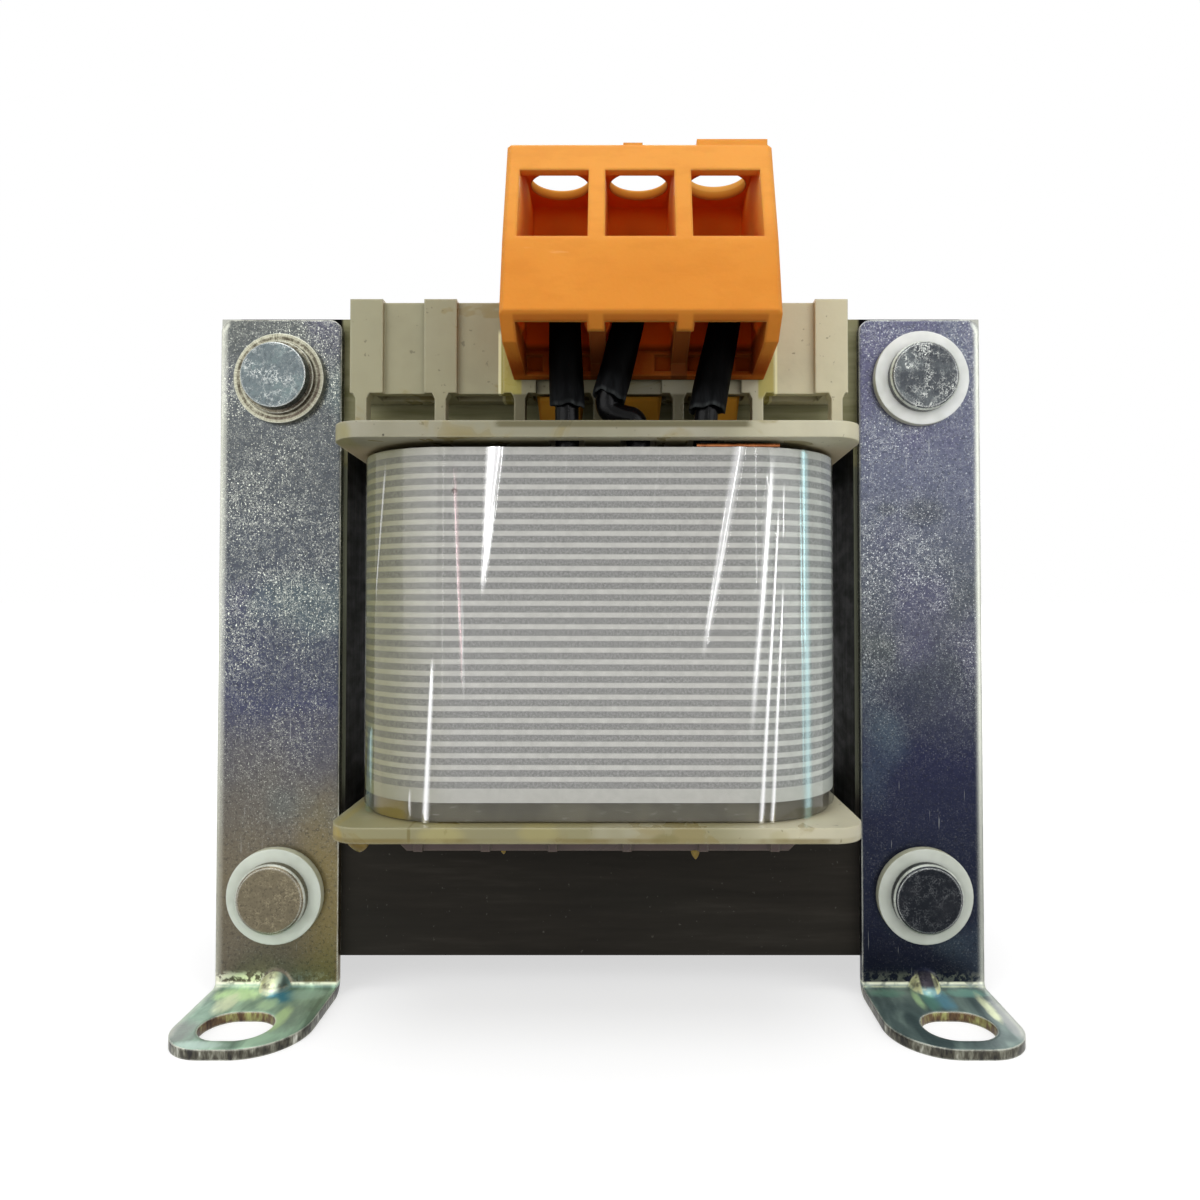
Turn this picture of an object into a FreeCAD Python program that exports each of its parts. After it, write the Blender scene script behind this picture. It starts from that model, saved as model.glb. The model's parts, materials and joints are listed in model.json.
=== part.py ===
import FreeCAD, Part
import math
import os

# Open-frame control transformer on four strip feet. Millimetres, +Z up, the
# front with the visible terminal block faces -Y. The feet stand on Z = 0.

# Laminated core: an E and I stack with the usual 6 by 5 proportions.
unit = 14.0
stack_depth = 35.0
core_lift = 4.0
packet_count = 3
packet_gap = 0.03
joint_gap = 0.06
core_half_width = 3.0 * unit
core_height = 5.0 * unit
core_bottom = core_lift
core_top = core_lift + core_height
face_y = stack_depth / 2.0
window_inner = unit
window_outer = core_half_width - unit
window_bottom = core_bottom + unit
window_top = core_top - unit
hole_x = core_half_width - unit / 2.0
hole_low = core_bottom + unit / 2.0
hole_high = core_top - unit / 2.0

# Rivets with insulating sleeves through the corner holes.
rivet_shank_r = 1.75
sleeve_inner_r = 1.8
sleeve_outer_r = 2.2
core_hole_r = 2.3
rivet_head_r = 3.75
formed_head_r = 3.6
rivet_head_h = 1.2
formed_head_h = 1.1
head_bevel = 0.35
formed_head_taper = 0.12
washer_inner_r = 2.0
nylon_washer_r = 5.1
nylon_washer_h = 1.0
metal_washer_r = 4.9
metal_washer_h = 0.8
small_washer_r = 3.95
small_washer_h = 0.5

# Folded strip brackets.
sheet = 1.0
bracket_width = 13.2
bracket_inner_x = hole_x - bracket_width / 2.0
bracket_outer_x = hole_x + bracket_width / 2.0
bracket_top = core_top - 0.4
foot_reach = 14.0
foot_tip = face_y + foot_reach
foot_inner_corner_r = 6.0
foot_outer_corner_r = 4.4
top_corner_r = 1.3
bend_inner_r = 0.6
bend_outer_r = bend_inner_r + sheet
slot_x = hole_x + 0.5
slot_y = face_y + 9.5
slot_length = 7.2
slot_width = 5.8
bead_r = 1.8
bead_hollow_r = 0.95
bead_rise = 1.9
bead_run = 2.5

# Bobbin: winding tube, two flanges and a terminal carrier at each end.
tube_clearance = 0.3
tube_wall = 1.2
tube_half_x = window_inner + tube_clearance + tube_wall
tube_half_y = face_y + tube_clearance + tube_wall
window_clearance = 0.2
flange_half_x = window_outer - 2.4
flange_reach = face_y + 13.9
flange_corner_r = 3.2
low_flange_bottom = window_bottom + 2.0
low_flange_top = low_flange_bottom + 1.5
high_flange_bottom = window_top - 2.3
high_flange_top = window_top - 0.5
flange_lift = 0.6
flange_lift_top = 0.4
ledge_half_x = window_outer - 8.0
ledge_wall = 1.2
ledge_reach = face_y + 9.8
ledge_rib_w = 0.9
ledge_rib_out = 0.4
ledge_rib_x = (-17.6, -11.0, -4.4, 2.9, 10.4, 17.4)
pole_pitch = 8.25
carrier_half_x = window_outer - 2.1
carrier_back = face_y + 0.4
carrier_front = face_y + 6.0
carrier_top = core_top + 0.2
carrier_bottom = carrier_top - 9.8
panel_set_back = 0.6
panel_drop = 0.2
rib_width = 3.4
post_width = 1.15
post_depth = 1.6
post_flare = 0.3
pocket_half_x = 2.95
pocket_back = face_y + 2.1
pocket_front = face_y + 4.4
lead_hole_x = (-3.0, 4.0, 10.6)
lead_hole_half = 1.75
lead_hole_back = face_y + 8.9
lead_hole_front = face_y + 12.4

# Windings and their wrappings, from the tube outward.
coil_bottom = low_flange_top + 0.1
coil_top = high_flange_bottom - 0.1
insulation_build = 0.4
wrap_build = 0.4
film_build = 0.2
coil_leg_clearance = 3.1
copper_room = (window_outer - coil_leg_clearance - tube_half_x - insulation_build - wrap_build
               - film_build)
primary_build = 0.55 * copper_room
secondary_build_x = copper_room - primary_build
secondary_build_y = secondary_build_x + 1.8
stripe_bottom = low_flange_top + 2.0

# Terminal block: outline as (distance from the core's middle plane, height).
block_pitch = pole_pitch
pole_count = 3
block_end_wall = 0.55
block_width = pole_count * block_pitch + 2.0 * block_end_wall
block_x = block_pitch / 2.0
seat_clearance = 0.2
skirt_back = carrier_front + seat_clearance
block_lip = carrier_front + 11.5
block_crease = block_lip - 1.8
block_knee = block_lip - 2.4
block_brow = block_lip - 5.6
block_back = face_y - 1.0
block_seat_z = carrier_top
block_height = 13.3
block_roof_z = block_seat_z + block_height
block_crease_z = block_seat_z + 2.2
block_lip_z = block_seat_z - 5.0
block_knee_z = block_lip_z - 2.2
skirt_bottom = block_seat_z - 8.5
skirt_step = skirt_bottom + 2.7
skirt_step_depth = 0.4
wall = 1.1
rib_between = 1.6
rib_lift = 1.4
cell_half = (block_pitch - rib_between) / 2.0
roof_thickness = 1.0
chamber_floor_z = block_seat_z + 1.8
chamber_roof_z = block_roof_z - roof_thickness
cell_ceiling_z = chamber_floor_z - 1.0
wire_window_low = chamber_floor_z + 0.8
wire_window_high = block_roof_z - 3.2
driver_hole_r = 3.05
driver_hole_y = face_y + 5.0
block_edge = 0.35
pad_height = 0.45
pad_x = (block_x + 5.6, block_x + 12.5)
gate_mark_x = (block_x - 1.6, block_x + 0.3)
gate_mark_height = 0.2
recess_size = 1.7
recess_depth = 0.7
recess_offset = 2.45
recess_lift = 0.6
catch_size = 0.45
catch_low = block_lip_z - 0.4
catch_y = (face_y + 11.2, face_y + 12.6)
leg_back = face_y + 2.8
leg_front = face_y + 4.0
leg_top_half = 2.5
leg_tip_half = 2.1
leg_tip_z = carrier_bottom - 3.2
barb_out = 0.9

# Clamps inside the terminal block.
cage_half_x = 2.9
cage_back = face_y + 0.8
cage_front = face_y + 8.4
cage_wall = 0.7
cage_top = chamber_floor_z + 3.1
clamp_shank_r = 1.3
clamp_hole_r = 1.4
clamp_head_r = 2.4
clamp_head_h = 1.0
clamp_tip_gap = 0.1
driver_slot_w = 0.7
driver_slot_depth = 0.6
tag_width = 2.4
tag_thick = 0.6
tag_front = face_y + 10.5
tag_end_z = block_seat_z - 1.8
tag_slot_margin = 0.2

# Internal leads: offset of each upper end from its pole, the elbow below its
# sleeve, and the height where the middle lead has crossed to its hole.
lead_top_offset = (0.82, -0.32, 0.83)
lead_elbow_x = (lead_hole_x[0], 0.8, lead_hole_x[2])
lead_elbow_rise = (1.3, 1.8, 1.3)
crossing_rise = 1.4
sleeve_end_rise = (2.8, 3.4, 1.9)
lead_top_stub = 1.0
lead_y = tag_front - tag_thick / 2.0
lead_low_y = face_y + 10.7
wire_r = 1.2
sleeve_wall = 0.3
sleeve_play = 0.1
sleeve_start = 1.4
tail_r = 0.18
tail_x = (window_outer - 18.4, window_outer - 10.4)
tail_y = tube_half_y + copper_room + 2.5

os.makedirs("parts", exist_ok=True)


def vec(x, y, z):
    return FreeCAD.Vector(x, y, z)


def block(x0, x1, y0, y1, z0, z1):
    return Part.makeBox(x1 - x0, y1 - y0, z1 - z0, vec(x0, y0, z0))


def front_block(x0, x1, out0, out1, z0, z1):
    """Box given by its distances out from the core's middle plane."""
    return block(x0, x1, -out1, -out0, z0, z1)


def side_prism(points, x0, x1):
    """Extrude an (out, height) outline along X on the front side."""
    corners = [vec(x0, -out, z) for out, z in points]
    corners.append(corners[0])
    return Part.Face(Part.makePolygon(corners)).extrude(vec(x1 - x0, 0, 0))


def face_prism(points, y0, y1):
    """Extrude an (x, height) outline along Y."""
    corners = [vec(x, y0, z) for x, z in points]
    corners.append(corners[0])
    return Part.Face(Part.makePolygon(corners)).extrude(vec(0, y1 - y0, 0))


def rounded_slab(half_x, half_y, radius, z0, z1):
    """Upright slab with a rounded rectangular outline."""
    solid = block(-half_x, half_x, -half_y, half_y, z0, z1)
    upright = [e for e in solid.Edges if abs(e.BoundBox.ZLength - (z1 - z0)) < 1e-6]
    return solid.makeFillet(radius, upright)


def rod_y(x, z, radius, y0, y1):
    return Part.makeCylinder(radius, y1 - y0, vec(x, y0, z), vec(0, 1, 0))


def rod_z(x, y, radius, z0, z1):
    return Part.makeCylinder(radius, z1 - z0, vec(x, y, z0), vec(0, 0, 1))


def to_rear(shape):
    """The same shape on the rear side, half a turn about the vertical axis."""
    turned = shape.copy()
    turned.rotate(vec(0, 0, 0), vec(0, 0, 1), 180)
    return turned


def fuse_all(shapes):
    return shapes[0].multiFuse(shapes[1:]).removeSplitter()


def group(shapes):
    return Part.makeCompound(shapes)


def save(name, shape):
    shape.exportStep("parts/" + name + ".step")


# Core
def e_plate(y0, y1, open_low):
    """Packet of E sheets; the open side is at the bottom or at the top."""
    points = [
        (-core_half_width, unit + joint_gap / 2.0),
        (-window_outer, unit + joint_gap / 2.0),
        (-window_outer, core_height - unit),
        (-window_inner, core_height - unit),
        (-window_inner, unit + joint_gap / 2.0),
        (window_inner, unit + joint_gap / 2.0),
        (window_inner, core_height - unit),
        (window_outer, core_height - unit),
        (window_outer, unit + joint_gap / 2.0),
        (core_half_width, unit + joint_gap / 2.0),
        (core_half_width, core_height),
        (-core_half_width, core_height),
    ]
    return drilled_plate(points, core_height - unit / 2.0, y0, y1, open_low)


def i_plate(y0, y1, open_low):
    """Packet of I sheets closing the open side of the E packet."""
    points = [
        (-core_half_width, 0.0),
        (core_half_width, 0.0),
        (core_half_width, unit - joint_gap / 2.0),
        (-core_half_width, unit - joint_gap / 2.0),
    ]
    return drilled_plate(points, unit / 2.0, y0, y1, open_low)


def drilled_plate(points, hole_z, y0, y1, open_low):
    def place(z):
        if open_low:
            return core_bottom + z
        return core_top - z
    plate = face_prism([(x, place(z)) for x, z in points], y0, y1)
    for side in (-1, 1):
        plate = plate.cut(rod_y(side * hole_x, place(hole_z), core_hole_r, y0 - 1, y1 + 1))
    return plate


packet_depth = stack_depth / packet_count
e_packets = []
i_packets = []
for number in range(packet_count):
    start = -face_y + number * packet_depth + packet_gap / 2.0
    end = start + packet_depth - packet_gap
    if number == 0:
        start = -face_y
    if number == packet_count - 1:
        end = face_y
    i_at_bottom = number % 2 == 0
    e_packets.append(e_plate(start, end, i_at_bottom))
    i_packets.append(i_plate(start, end, i_at_bottom))
save("e_laminations", group(e_packets))
save("i_laminations", group(i_packets))


# Brackets
def front_right_bracket():
    inner = face_y
    outer = face_y + sheet
    strip = side_prism(
        [(inner, 0), (foot_tip, 0), (foot_tip, sheet), (outer, sheet), (outer, bracket_top),
         (inner, bracket_top)],
        bracket_inner_x, bracket_outer_x)

    def edges_at(out, z):
        found = []
        for edge in strip.Edges:
            box = edge.BoundBox
            if box.XLength < 1.0 or box.YLength > 1e-6 or box.ZLength > 1e-6:
                continue
            if abs(box.YMin + out) < 1e-6 and abs(box.ZMin - z) < 1e-6:
                found.append(edge)
        return found

    strip = strip.makeFillet(bend_inner_r, edges_at(outer, sheet))
    strip = strip.makeFillet(bend_outer_r, edges_at(inner, 0))
    for x, radius in ((bracket_inner_x, foot_inner_corner_r), (bracket_outer_x, foot_outer_corner_r)):
        foot_corners = [e for e in strip.Edges if abs(e.BoundBox.YMin + foot_tip) < 1e-6
                        and abs(e.BoundBox.ZLength - sheet) < 1e-6
                        and abs(e.BoundBox.XMin - x) < 1e-6]
        strip = strip.makeFillet(radius, foot_corners)
    top_corners = [e for e in strip.Edges if abs(e.BoundBox.ZMin - bracket_top) < 1e-6
                   and abs(e.BoundBox.YLength - sheet) < 1e-6]
    strip = strip.makeFillet(top_corner_r, top_corners)

    # Pressed stiffening dart across the bend, hollow on the outside of the bend.
    slope = math.hypot(bead_run, bead_rise)
    sink = bead_r - bead_run * bead_rise / slope
    along = vec(0, -bead_run / slope, -bead_rise / slope)
    corner = vec(hole_x, -outer + sink * bead_rise / slope, sheet - sink * bead_run / slope)
    reach = bead_rise + bead_run + sheet
    bead = Part.makeCylinder(bead_r, 2 * reach, corner - along * reach, along)
    bead = bead.common(front_block(bracket_inner_x, bracket_outer_x, outer - sheet / 2.0,
                                   outer + reach, sheet / 2.0, sheet + reach))
    hollow = Part.makeCylinder(bead_hollow_r, 2 * reach, corner - along * reach, along)
    strip = strip.fuse(bead).cut(hollow).removeSplitter()

    straight = (slot_length - slot_width) / 2.0
    slot = front_block(slot_x - straight, slot_x + straight, slot_y - slot_width / 2.0,
                       slot_y + slot_width / 2.0, -1, sheet + 1)
    for side in (-1, 1):
        slot = slot.fuse(rod_z(slot_x + side * straight, -slot_y, slot_width / 2.0, -1, sheet + 1))
    strip = strip.cut(slot)
    for z in (hole_low, hole_high):
        strip = strip.cut(rod_y(hole_x, z, core_hole_r, -outer - 1, -inner + 1))
    return strip


bracket = front_right_bracket()
left_bracket = bracket.mirror(vec(0, 0, 0), vec(1, 0, 0))
save("bracket_front_right", bracket)
save("bracket_front_left", left_bracket)
save("bracket_rear_left", to_rear(bracket))
save("bracket_rear_right", to_rear(left_bracket))


# Rivets and washers
def washer(x, z, seat, thickness, outer_r):
    ring = rod_y(x, z, outer_r, seat - thickness, seat)
    return ring.cut(rod_y(x, z, washer_inner_r, seat - thickness - 1, seat + 1))


def factory_head(x, z, seat):
    """Flat head with a bevelled rim, standing out from y = seat on the front side."""
    base = rod_y(x, z, rivet_head_r, seat - rivet_head_h + head_bevel, seat)
    crown = Part.makeCone(rivet_head_r, rivet_head_r - head_bevel, head_bevel,
                          vec(x, seat - rivet_head_h + head_bevel, z), vec(0, -1, 0))
    return base.fuse(crown)


def formed_head(x, z, seat):
    """Head pressed on site, tapering outward from y = seat on the front side."""
    return Part.makeCone(formed_head_r, formed_head_r - formed_head_taper, formed_head_h,
                         vec(x, seat, z), vec(0, -1, 0))


def mirror_y(shape):
    return shape.mirror(vec(0, 0, 0), vec(0, 1, 0))


plate_y = face_y + sheet
nylon_seat = -(plate_y + nylon_washer_h)
metal_seat = -(plate_y + metal_washer_h)
earth_seat = metal_seat - small_washer_h

rivet_places = {
    "top_left": (-hole_x, hole_high),
    "top_right": (hole_x, hole_high),
    "bottom_left": (-hole_x, hole_low),
    "bottom_right": (hole_x, hole_low),
}
nylon_rings = []
for place_name, (x, z) in rivet_places.items():
    if place_name == "top_left":
        front_head = formed_head(x, z, earth_seat)
        rear_head = mirror_y(factory_head(x, z, metal_seat))
        front_end = earth_seat
        rear_end = -metal_seat
    else:
        front_head = factory_head(x, z, nylon_seat)
        rear_head = mirror_y(formed_head(x, z, nylon_seat))
        front_end = nylon_seat
        rear_end = -nylon_seat
        ring = washer(x, z, -plate_y, nylon_washer_h, nylon_washer_r)
        nylon_rings.append(ring)
        nylon_rings.append(mirror_y(ring))
    shank = rod_y(x, z, rivet_shank_r, front_end, rear_end)
    save("rivet_" + place_name, fuse_all([shank, front_head, rear_head]))
save("nylon_washers", group(nylon_rings))

sleeves = []
for place_name, (x, z) in rivet_places.items():
    if place_name == "top_left":
        continue
    tube = rod_y(x, z, sleeve_outer_r, -plate_y + 0.1, plate_y - 0.1)
    sleeves.append(tube.cut(rod_y(x, z, sleeve_inner_r, -plate_y - 1, plate_y + 1)))
save("rivet_sleeves", group(sleeves))

earth_x, earth_z = rivet_places["top_left"]
front_earth = washer(earth_x, earth_z, -plate_y, metal_washer_h, metal_washer_r)
save("earth_washers", group([front_earth, mirror_y(front_earth)]))
save("small_washer", washer(earth_x, earth_z, metal_seat, small_washer_h, small_washer_r))


# Bobbin
def high_flange_part():
    """Upper flange with its two overhangs rising slightly outward."""
    middle = block(-flange_half_x, flange_half_x, -face_y, face_y,
                   high_flange_bottom, high_flange_top)
    overhang = side_prism(
        [(face_y, high_flange_bottom), (flange_reach, high_flange_bottom + flange_lift),
         (flange_reach, high_flange_top + flange_lift_top), (face_y, high_flange_top)],
        -flange_half_x, flange_half_x)
    for x in lead_hole_x:
        overhang = overhang.cut(front_block(x - lead_hole_half, x + lead_hole_half,
                                            lead_hole_back, lead_hole_front,
                                            high_flange_bottom - 1, high_flange_top + 2))
    plate = fuse_all([middle, overhang, to_rear(overhang)])
    outline = rounded_slab(flange_half_x, flange_reach, flange_corner_r,
                           high_flange_bottom - 1, high_flange_top + 2)
    return plate.common(outline)


def carrier():
    """Comb that holds a terminal block: ribs, sunk panels, pockets and posts."""
    body = front_block(-carrier_half_x, carrier_half_x, carrier_back,
                       carrier_front - panel_set_back, carrier_bottom, carrier_top - panel_drop)
    pieces = [body]
    end_rib = carrier_half_x - rib_width / 2.0
    end_post = carrier_half_x - post_width
    for k in range(-3, 4):
        centre = max(-end_rib, min(end_rib, k * pole_pitch))
        pieces.append(front_block(centre - rib_width / 2.0, centre + rib_width / 2.0, carrier_back,
                                  carrier_front, carrier_bottom, carrier_top))
        left = max(-end_post, min(end_post, k * pole_pitch)) - post_width / 2.0
        right = left + post_width
        outline = [
            (left, high_flange_top - 0.8), (right, high_flange_top - 0.8),
            (right, carrier_bottom - 2 * post_flare), (right + post_flare, carrier_bottom),
            (right, carrier_bottom + 0.5), (left, carrier_bottom + 0.5),
            (left - post_flare, carrier_bottom), (left, carrier_bottom - 2 * post_flare),
        ]
        pieces.append(face_prism(outline, -carrier_front, -carrier_front + post_depth))
    comb = fuse_all(pieces)
    for k in range(-3, 3):
        centre = (k + 0.5) * pole_pitch
        comb = comb.cut(front_block(centre - pocket_half_x, centre + pocket_half_x, pocket_back,
                                    pocket_front, carrier_bottom - 1, carrier_top + 1))
    return comb


low_flange = rounded_slab(flange_half_x, flange_reach, flange_corner_r,
                          low_flange_bottom, low_flange_top)
tube = rounded_slab(tube_half_x, tube_half_y, 1.0, window_bottom + window_clearance, high_flange_top)
ledge_bottom = window_bottom + window_clearance
ledge = face_prism(
    [(-ledge_half_x + ledge_wall, ledge_bottom), (ledge_half_x - ledge_wall, ledge_bottom),
     (ledge_half_x, ledge_bottom + ledge_wall), (ledge_half_x, low_flange_bottom + 0.1),
     (-ledge_half_x, low_flange_bottom + 0.1), (-ledge_half_x, ledge_bottom + ledge_wall)],
    -ledge_reach, ledge_reach)
inside_x = ledge_half_x - ledge_wall
inside_y = ledge_reach - ledge_wall
ledge = ledge.cut(block(-inside_x, inside_x, -inside_y, inside_y, ledge_bottom - 1,
                        low_flange_bottom))
ledge_ribs = []
for x in ledge_rib_x:
    rib = front_block(x - ledge_rib_w / 2.0, x + ledge_rib_w / 2.0, ledge_reach - 0.5,
                      ledge_reach + ledge_rib_out, ledge_bottom, low_flange_bottom + 0.1)
    ledge_ribs.append(rib)
    ledge_ribs.append(to_rear(rib))
front_carrier = carrier()
moulding = fuse_all([low_flange, tube, ledge, high_flange_part(), front_carrier,
                     to_rear(front_carrier)] + ledge_ribs)
tongue_half_x = window_inner + tube_clearance
tongue_half_y = face_y + tube_clearance
moulding = moulding.cut(block(-tongue_half_x, tongue_half_x, -tongue_half_y, tongue_half_y,
                              window_bottom - 1, high_flange_top + 1))
save("bobbin", moulding)


# Windings and wrappings
def coil_layer(inner_x, inner_y, inner_r, outer_x, outer_y, outer_r, z0, z1):
    shell = rounded_slab(outer_x, outer_y, outer_r, z0, z1)
    return shell.cut(rounded_slab(inner_x, inner_y, inner_r, z0 - 1, z1 + 1))


layer_edges = [(tube_half_x, tube_half_y, 1.0)]
for build_x, build_y in ((primary_build, primary_build), (insulation_build, insulation_build),
                         (secondary_build_x, secondary_build_y), (wrap_build, wrap_build),
                         (film_build, film_build)):
    last_x, last_y, last_r = layer_edges[-1]
    layer_edges.append((last_x + build_x, last_y + build_y, last_r + min(build_x, build_y)))
layer_spans = {
    "primary_winding": (coil_bottom, coil_top),
    "winding_insulation": (coil_bottom, coil_top),
    "secondary_winding": (coil_bottom, coil_top),
    "striped_wrap": (stripe_bottom, coil_top),
    "clear_film": (coil_bottom, coil_top),
}
for index, (layer_name, (z0, z1)) in enumerate(layer_spans.items()):
    save(layer_name, coil_layer(*layer_edges[index], *layer_edges[index + 1], z0, z1))

tail = Part.makeCylinder(tail_r, tail_x[1] - tail_x[0], vec(tail_x[0], -tail_y, coil_top + tail_r),
                         vec(1, 0, 0))
save("winding_tail", tail)


# Terminal blocks
def crease_line(z):
    """Distance out of the upper front face at height z."""
    share = (z - block_crease_z) / (block_roof_z - block_crease_z)
    return block_crease + (block_brow - block_crease) * share


def lip_line(z):
    """Distance out of the lower front face at height z."""
    share = (z - block_lip_z) / (block_crease_z - block_lip_z)
    return block_lip + (block_crease - block_lip) * share


left_edge = block_x - block_width / 2.0
right_edge = block_x + block_width / 2.0
pole_x = [block_x + (pole - 1) * block_pitch for pole in range(pole_count)]


def terminal_housing():
    body = side_prism(
        [(block_lip, block_lip_z), (block_crease, block_crease_z), (block_brow, block_roof_z),
         (block_back, block_roof_z), (block_back, block_seat_z), (skirt_back, block_seat_z),
         (skirt_back, skirt_bottom), (block_knee, block_knee_z)],
        left_edge, right_edge)
    sharp = []
    for edge in body.Edges:
        box = edge.BoundBox
        on_roof = box.ZMin > block_roof_z - 1e-6
        on_front_end = (box.XLength < 1e-6 and box.YMax < -block_brow + 1e-6
                        and box.ZMin > block_lip_z - 1e-6)
        if on_roof or on_front_end:
            sharp.append(edge)
    body = body.makeChamfer(block_edge, sharp)

    pad = front_block(pad_x[0], pad_x[1], block_back + wall, block_brow - 0.1,
                      block_roof_z - roof_thickness / 2.0, block_roof_z + pad_height)
    gate_mark = front_block(gate_mark_x[0], gate_mark_x[1], block_brow - wall, block_brow - 0.3,
                            block_roof_z - roof_thickness / 2.0, block_roof_z + gate_mark_height)
    body = body.fuse(pad).fuse(gate_mark)

    slant = wall * math.hypot(block_crease - block_brow, block_roof_z - block_crease_z)
    slant = slant / (block_roof_z - block_crease_z)
    below_skirt = skirt_bottom - block_height / 2.0
    for centre in pole_x:
        x0 = centre - cell_half
        x1 = centre + cell_half
        chamber = side_prism(
            [(block_back + wall, chamber_floor_z), (block_back + wall, chamber_roof_z),
             (crease_line(chamber_roof_z) - slant, chamber_roof_z),
             (crease_line(chamber_floor_z) - slant, chamber_floor_z)],
            x0, x1)
        entry = front_block(x0, x1, block_brow - 3, block_lip + 2, wire_window_low, wire_window_high)
        driver_hole = rod_z(centre, -driver_hole_y, driver_hole_r, chamber_roof_z - 1,
                            block_roof_z + 2)
        low_cell = side_prism(
            [(skirt_back + wall, below_skirt), (skirt_back + wall, skirt_step),
             (skirt_back + wall - skirt_step_depth, skirt_step),
             (skirt_back + wall - skirt_step_depth, cell_ceiling_z),
             (lip_line(cell_ceiling_z) - wall, cell_ceiling_z),
             (lip_line(below_skirt) - wall, below_skirt)],
            x0, x1)
        body = body.cut(chamber).cut(entry).cut(driver_hole).cut(low_cell)
        for side in (-1, 1):
            middle = centre + side * recess_offset
            body = body.cut(front_block(middle - recess_size / 2.0, middle + recess_size / 2.0,
                                        skirt_back + wall - recess_depth, skirt_back + wall + 1,
                                        skirt_bottom + recess_lift,
                                        skirt_bottom + recess_lift + recess_size))

    # The walls between the poles stop short of the lower rim.
    for boundary in range(1, pole_count):
        x = left_edge + block_end_wall + boundary * block_pitch
        body = body.cut(side_prism(
            [(skirt_back + wall, below_skirt), (skirt_back + wall, skirt_bottom + rib_lift),
             (block_lip - rib_between, block_lip_z + rib_lift / 2.0),
             (block_lip - rib_between, below_skirt)],
            x - rib_between / 2.0 - 0.01, x + rib_between / 2.0 + 0.01))

    pieces = [body]
    for index, centre in enumerate(pole_x):
        # Small catches on the cell walls.
        for side in (-1, 1):
            wall_x = centre + side * cell_half
            tip_x = wall_x - side * catch_size
            back_x = wall_x + side * 0.2
            outline = [
                (back_x, catch_low), (wall_x, catch_low), (tip_x, catch_low + 2 * catch_size),
                (wall_x, catch_low + 3 * catch_size), (back_x, catch_low + 3 * catch_size),
            ]
            pieces.append(face_prism(outline, -catch_y[1], -catch_y[0]))
        # Snap leg that reaches down through the carrier pocket and hooks under it.
        leg = face_prism(
            [(centre - leg_tip_half, leg_tip_z), (centre + leg_tip_half, leg_tip_z),
             (centre + leg_top_half, carrier_bottom), (centre + leg_top_half, block_seat_z + 0.5),
             (centre - leg_top_half, block_seat_z + 0.5), (centre - leg_top_half, carrier_bottom)],
            -leg_front, -leg_back)
        hook_z = carrier_bottom - 0.2
        barb = side_prism(
            [(leg_front - 0.2, leg_tip_z + 0.6), (leg_front, leg_tip_z + 0.6),
             (leg_front + barb_out, hook_z - 0.4), (leg_front + barb_out, hook_z),
             (leg_front - 0.2, hook_z)],
            centre - leg_tip_half, centre + leg_tip_half)
        pieces.append(leg)
        pieces.append(barb)
    housing = fuse_all(pieces)

    for index, centre in enumerate(pole_x):
        tag_x = centre + lead_top_offset[index]
        half = tag_width / 2.0 + tag_slot_margin
        housing = housing.cut(front_block(tag_x - half, tag_x + half,
                                          tag_front - tag_thick - tag_slot_margin,
                                          tag_front + tag_slot_margin,
                                          cell_ceiling_z - 1, chamber_floor_z + 1))
    return housing


def clamp_cage(centre):
    cage = front_block(centre - cage_half_x, centre + cage_half_x, cage_back, cage_front,
                       chamber_floor_z, cage_top)
    cage = cage.cut(front_block(centre - cage_half_x + cage_wall, centre + cage_half_x - cage_wall,
                                cage_back - 1, cage_front + 1, chamber_floor_z + cage_wall,
                                cage_top - cage_wall))
    return cage.cut(rod_z(centre, -driver_hole_y, clamp_hole_r, cage_top - 2, cage_top + 1))


def clamp_screw(centre):
    tip_z = chamber_floor_z + cage_wall + tag_thick + clamp_tip_gap
    shank = rod_z(centre, -driver_hole_y, clamp_shank_r, tip_z, cage_top + 0.1)
    top = rod_z(centre, -driver_hole_y, clamp_head_r, cage_top, cage_top + clamp_head_h)
    screw = shank.fuse(top).removeSplitter()
    return screw.cut(front_block(centre - clamp_head_r - 1, centre + clamp_head_r + 1,
                                 driver_hole_y - driver_slot_w / 2.0,
                                 driver_hole_y + driver_slot_w / 2.0,
                                 cage_top + clamp_head_h - driver_slot_depth, cage_top + 5))


def solder_tag(centre, index):
    x0 = centre + lead_top_offset[index] - tag_width / 2.0
    bar_z = chamber_floor_z + cage_wall
    return side_prism(
        [(cage_back + 0.4, bar_z), (tag_front - tag_thick, bar_z), (tag_front - tag_thick, tag_end_z),
         (tag_front, tag_end_z), (tag_front, bar_z + tag_thick), (cage_back + 0.4, bar_z + tag_thick)],
        x0, x0 + tag_width)


def lead_points(centre, index):
    """Corners of a lead from its soldered end down into the winding."""
    hole_place = lead_hole_x[index]
    elbow_x = lead_elbow_x[index]
    points = [
        vec(centre + lead_top_offset[index], -lead_y, tag_end_z + lead_top_stub),
        vec(elbow_x, -lead_low_y, high_flange_top + lead_elbow_rise[index]),
    ]
    if elbow_x != hole_place:
        points.append(vec(hole_place, -lead_low_y, high_flange_top + crossing_rise))
    points.append(vec(hole_place, -lead_low_y, coil_top))
    return points


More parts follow.
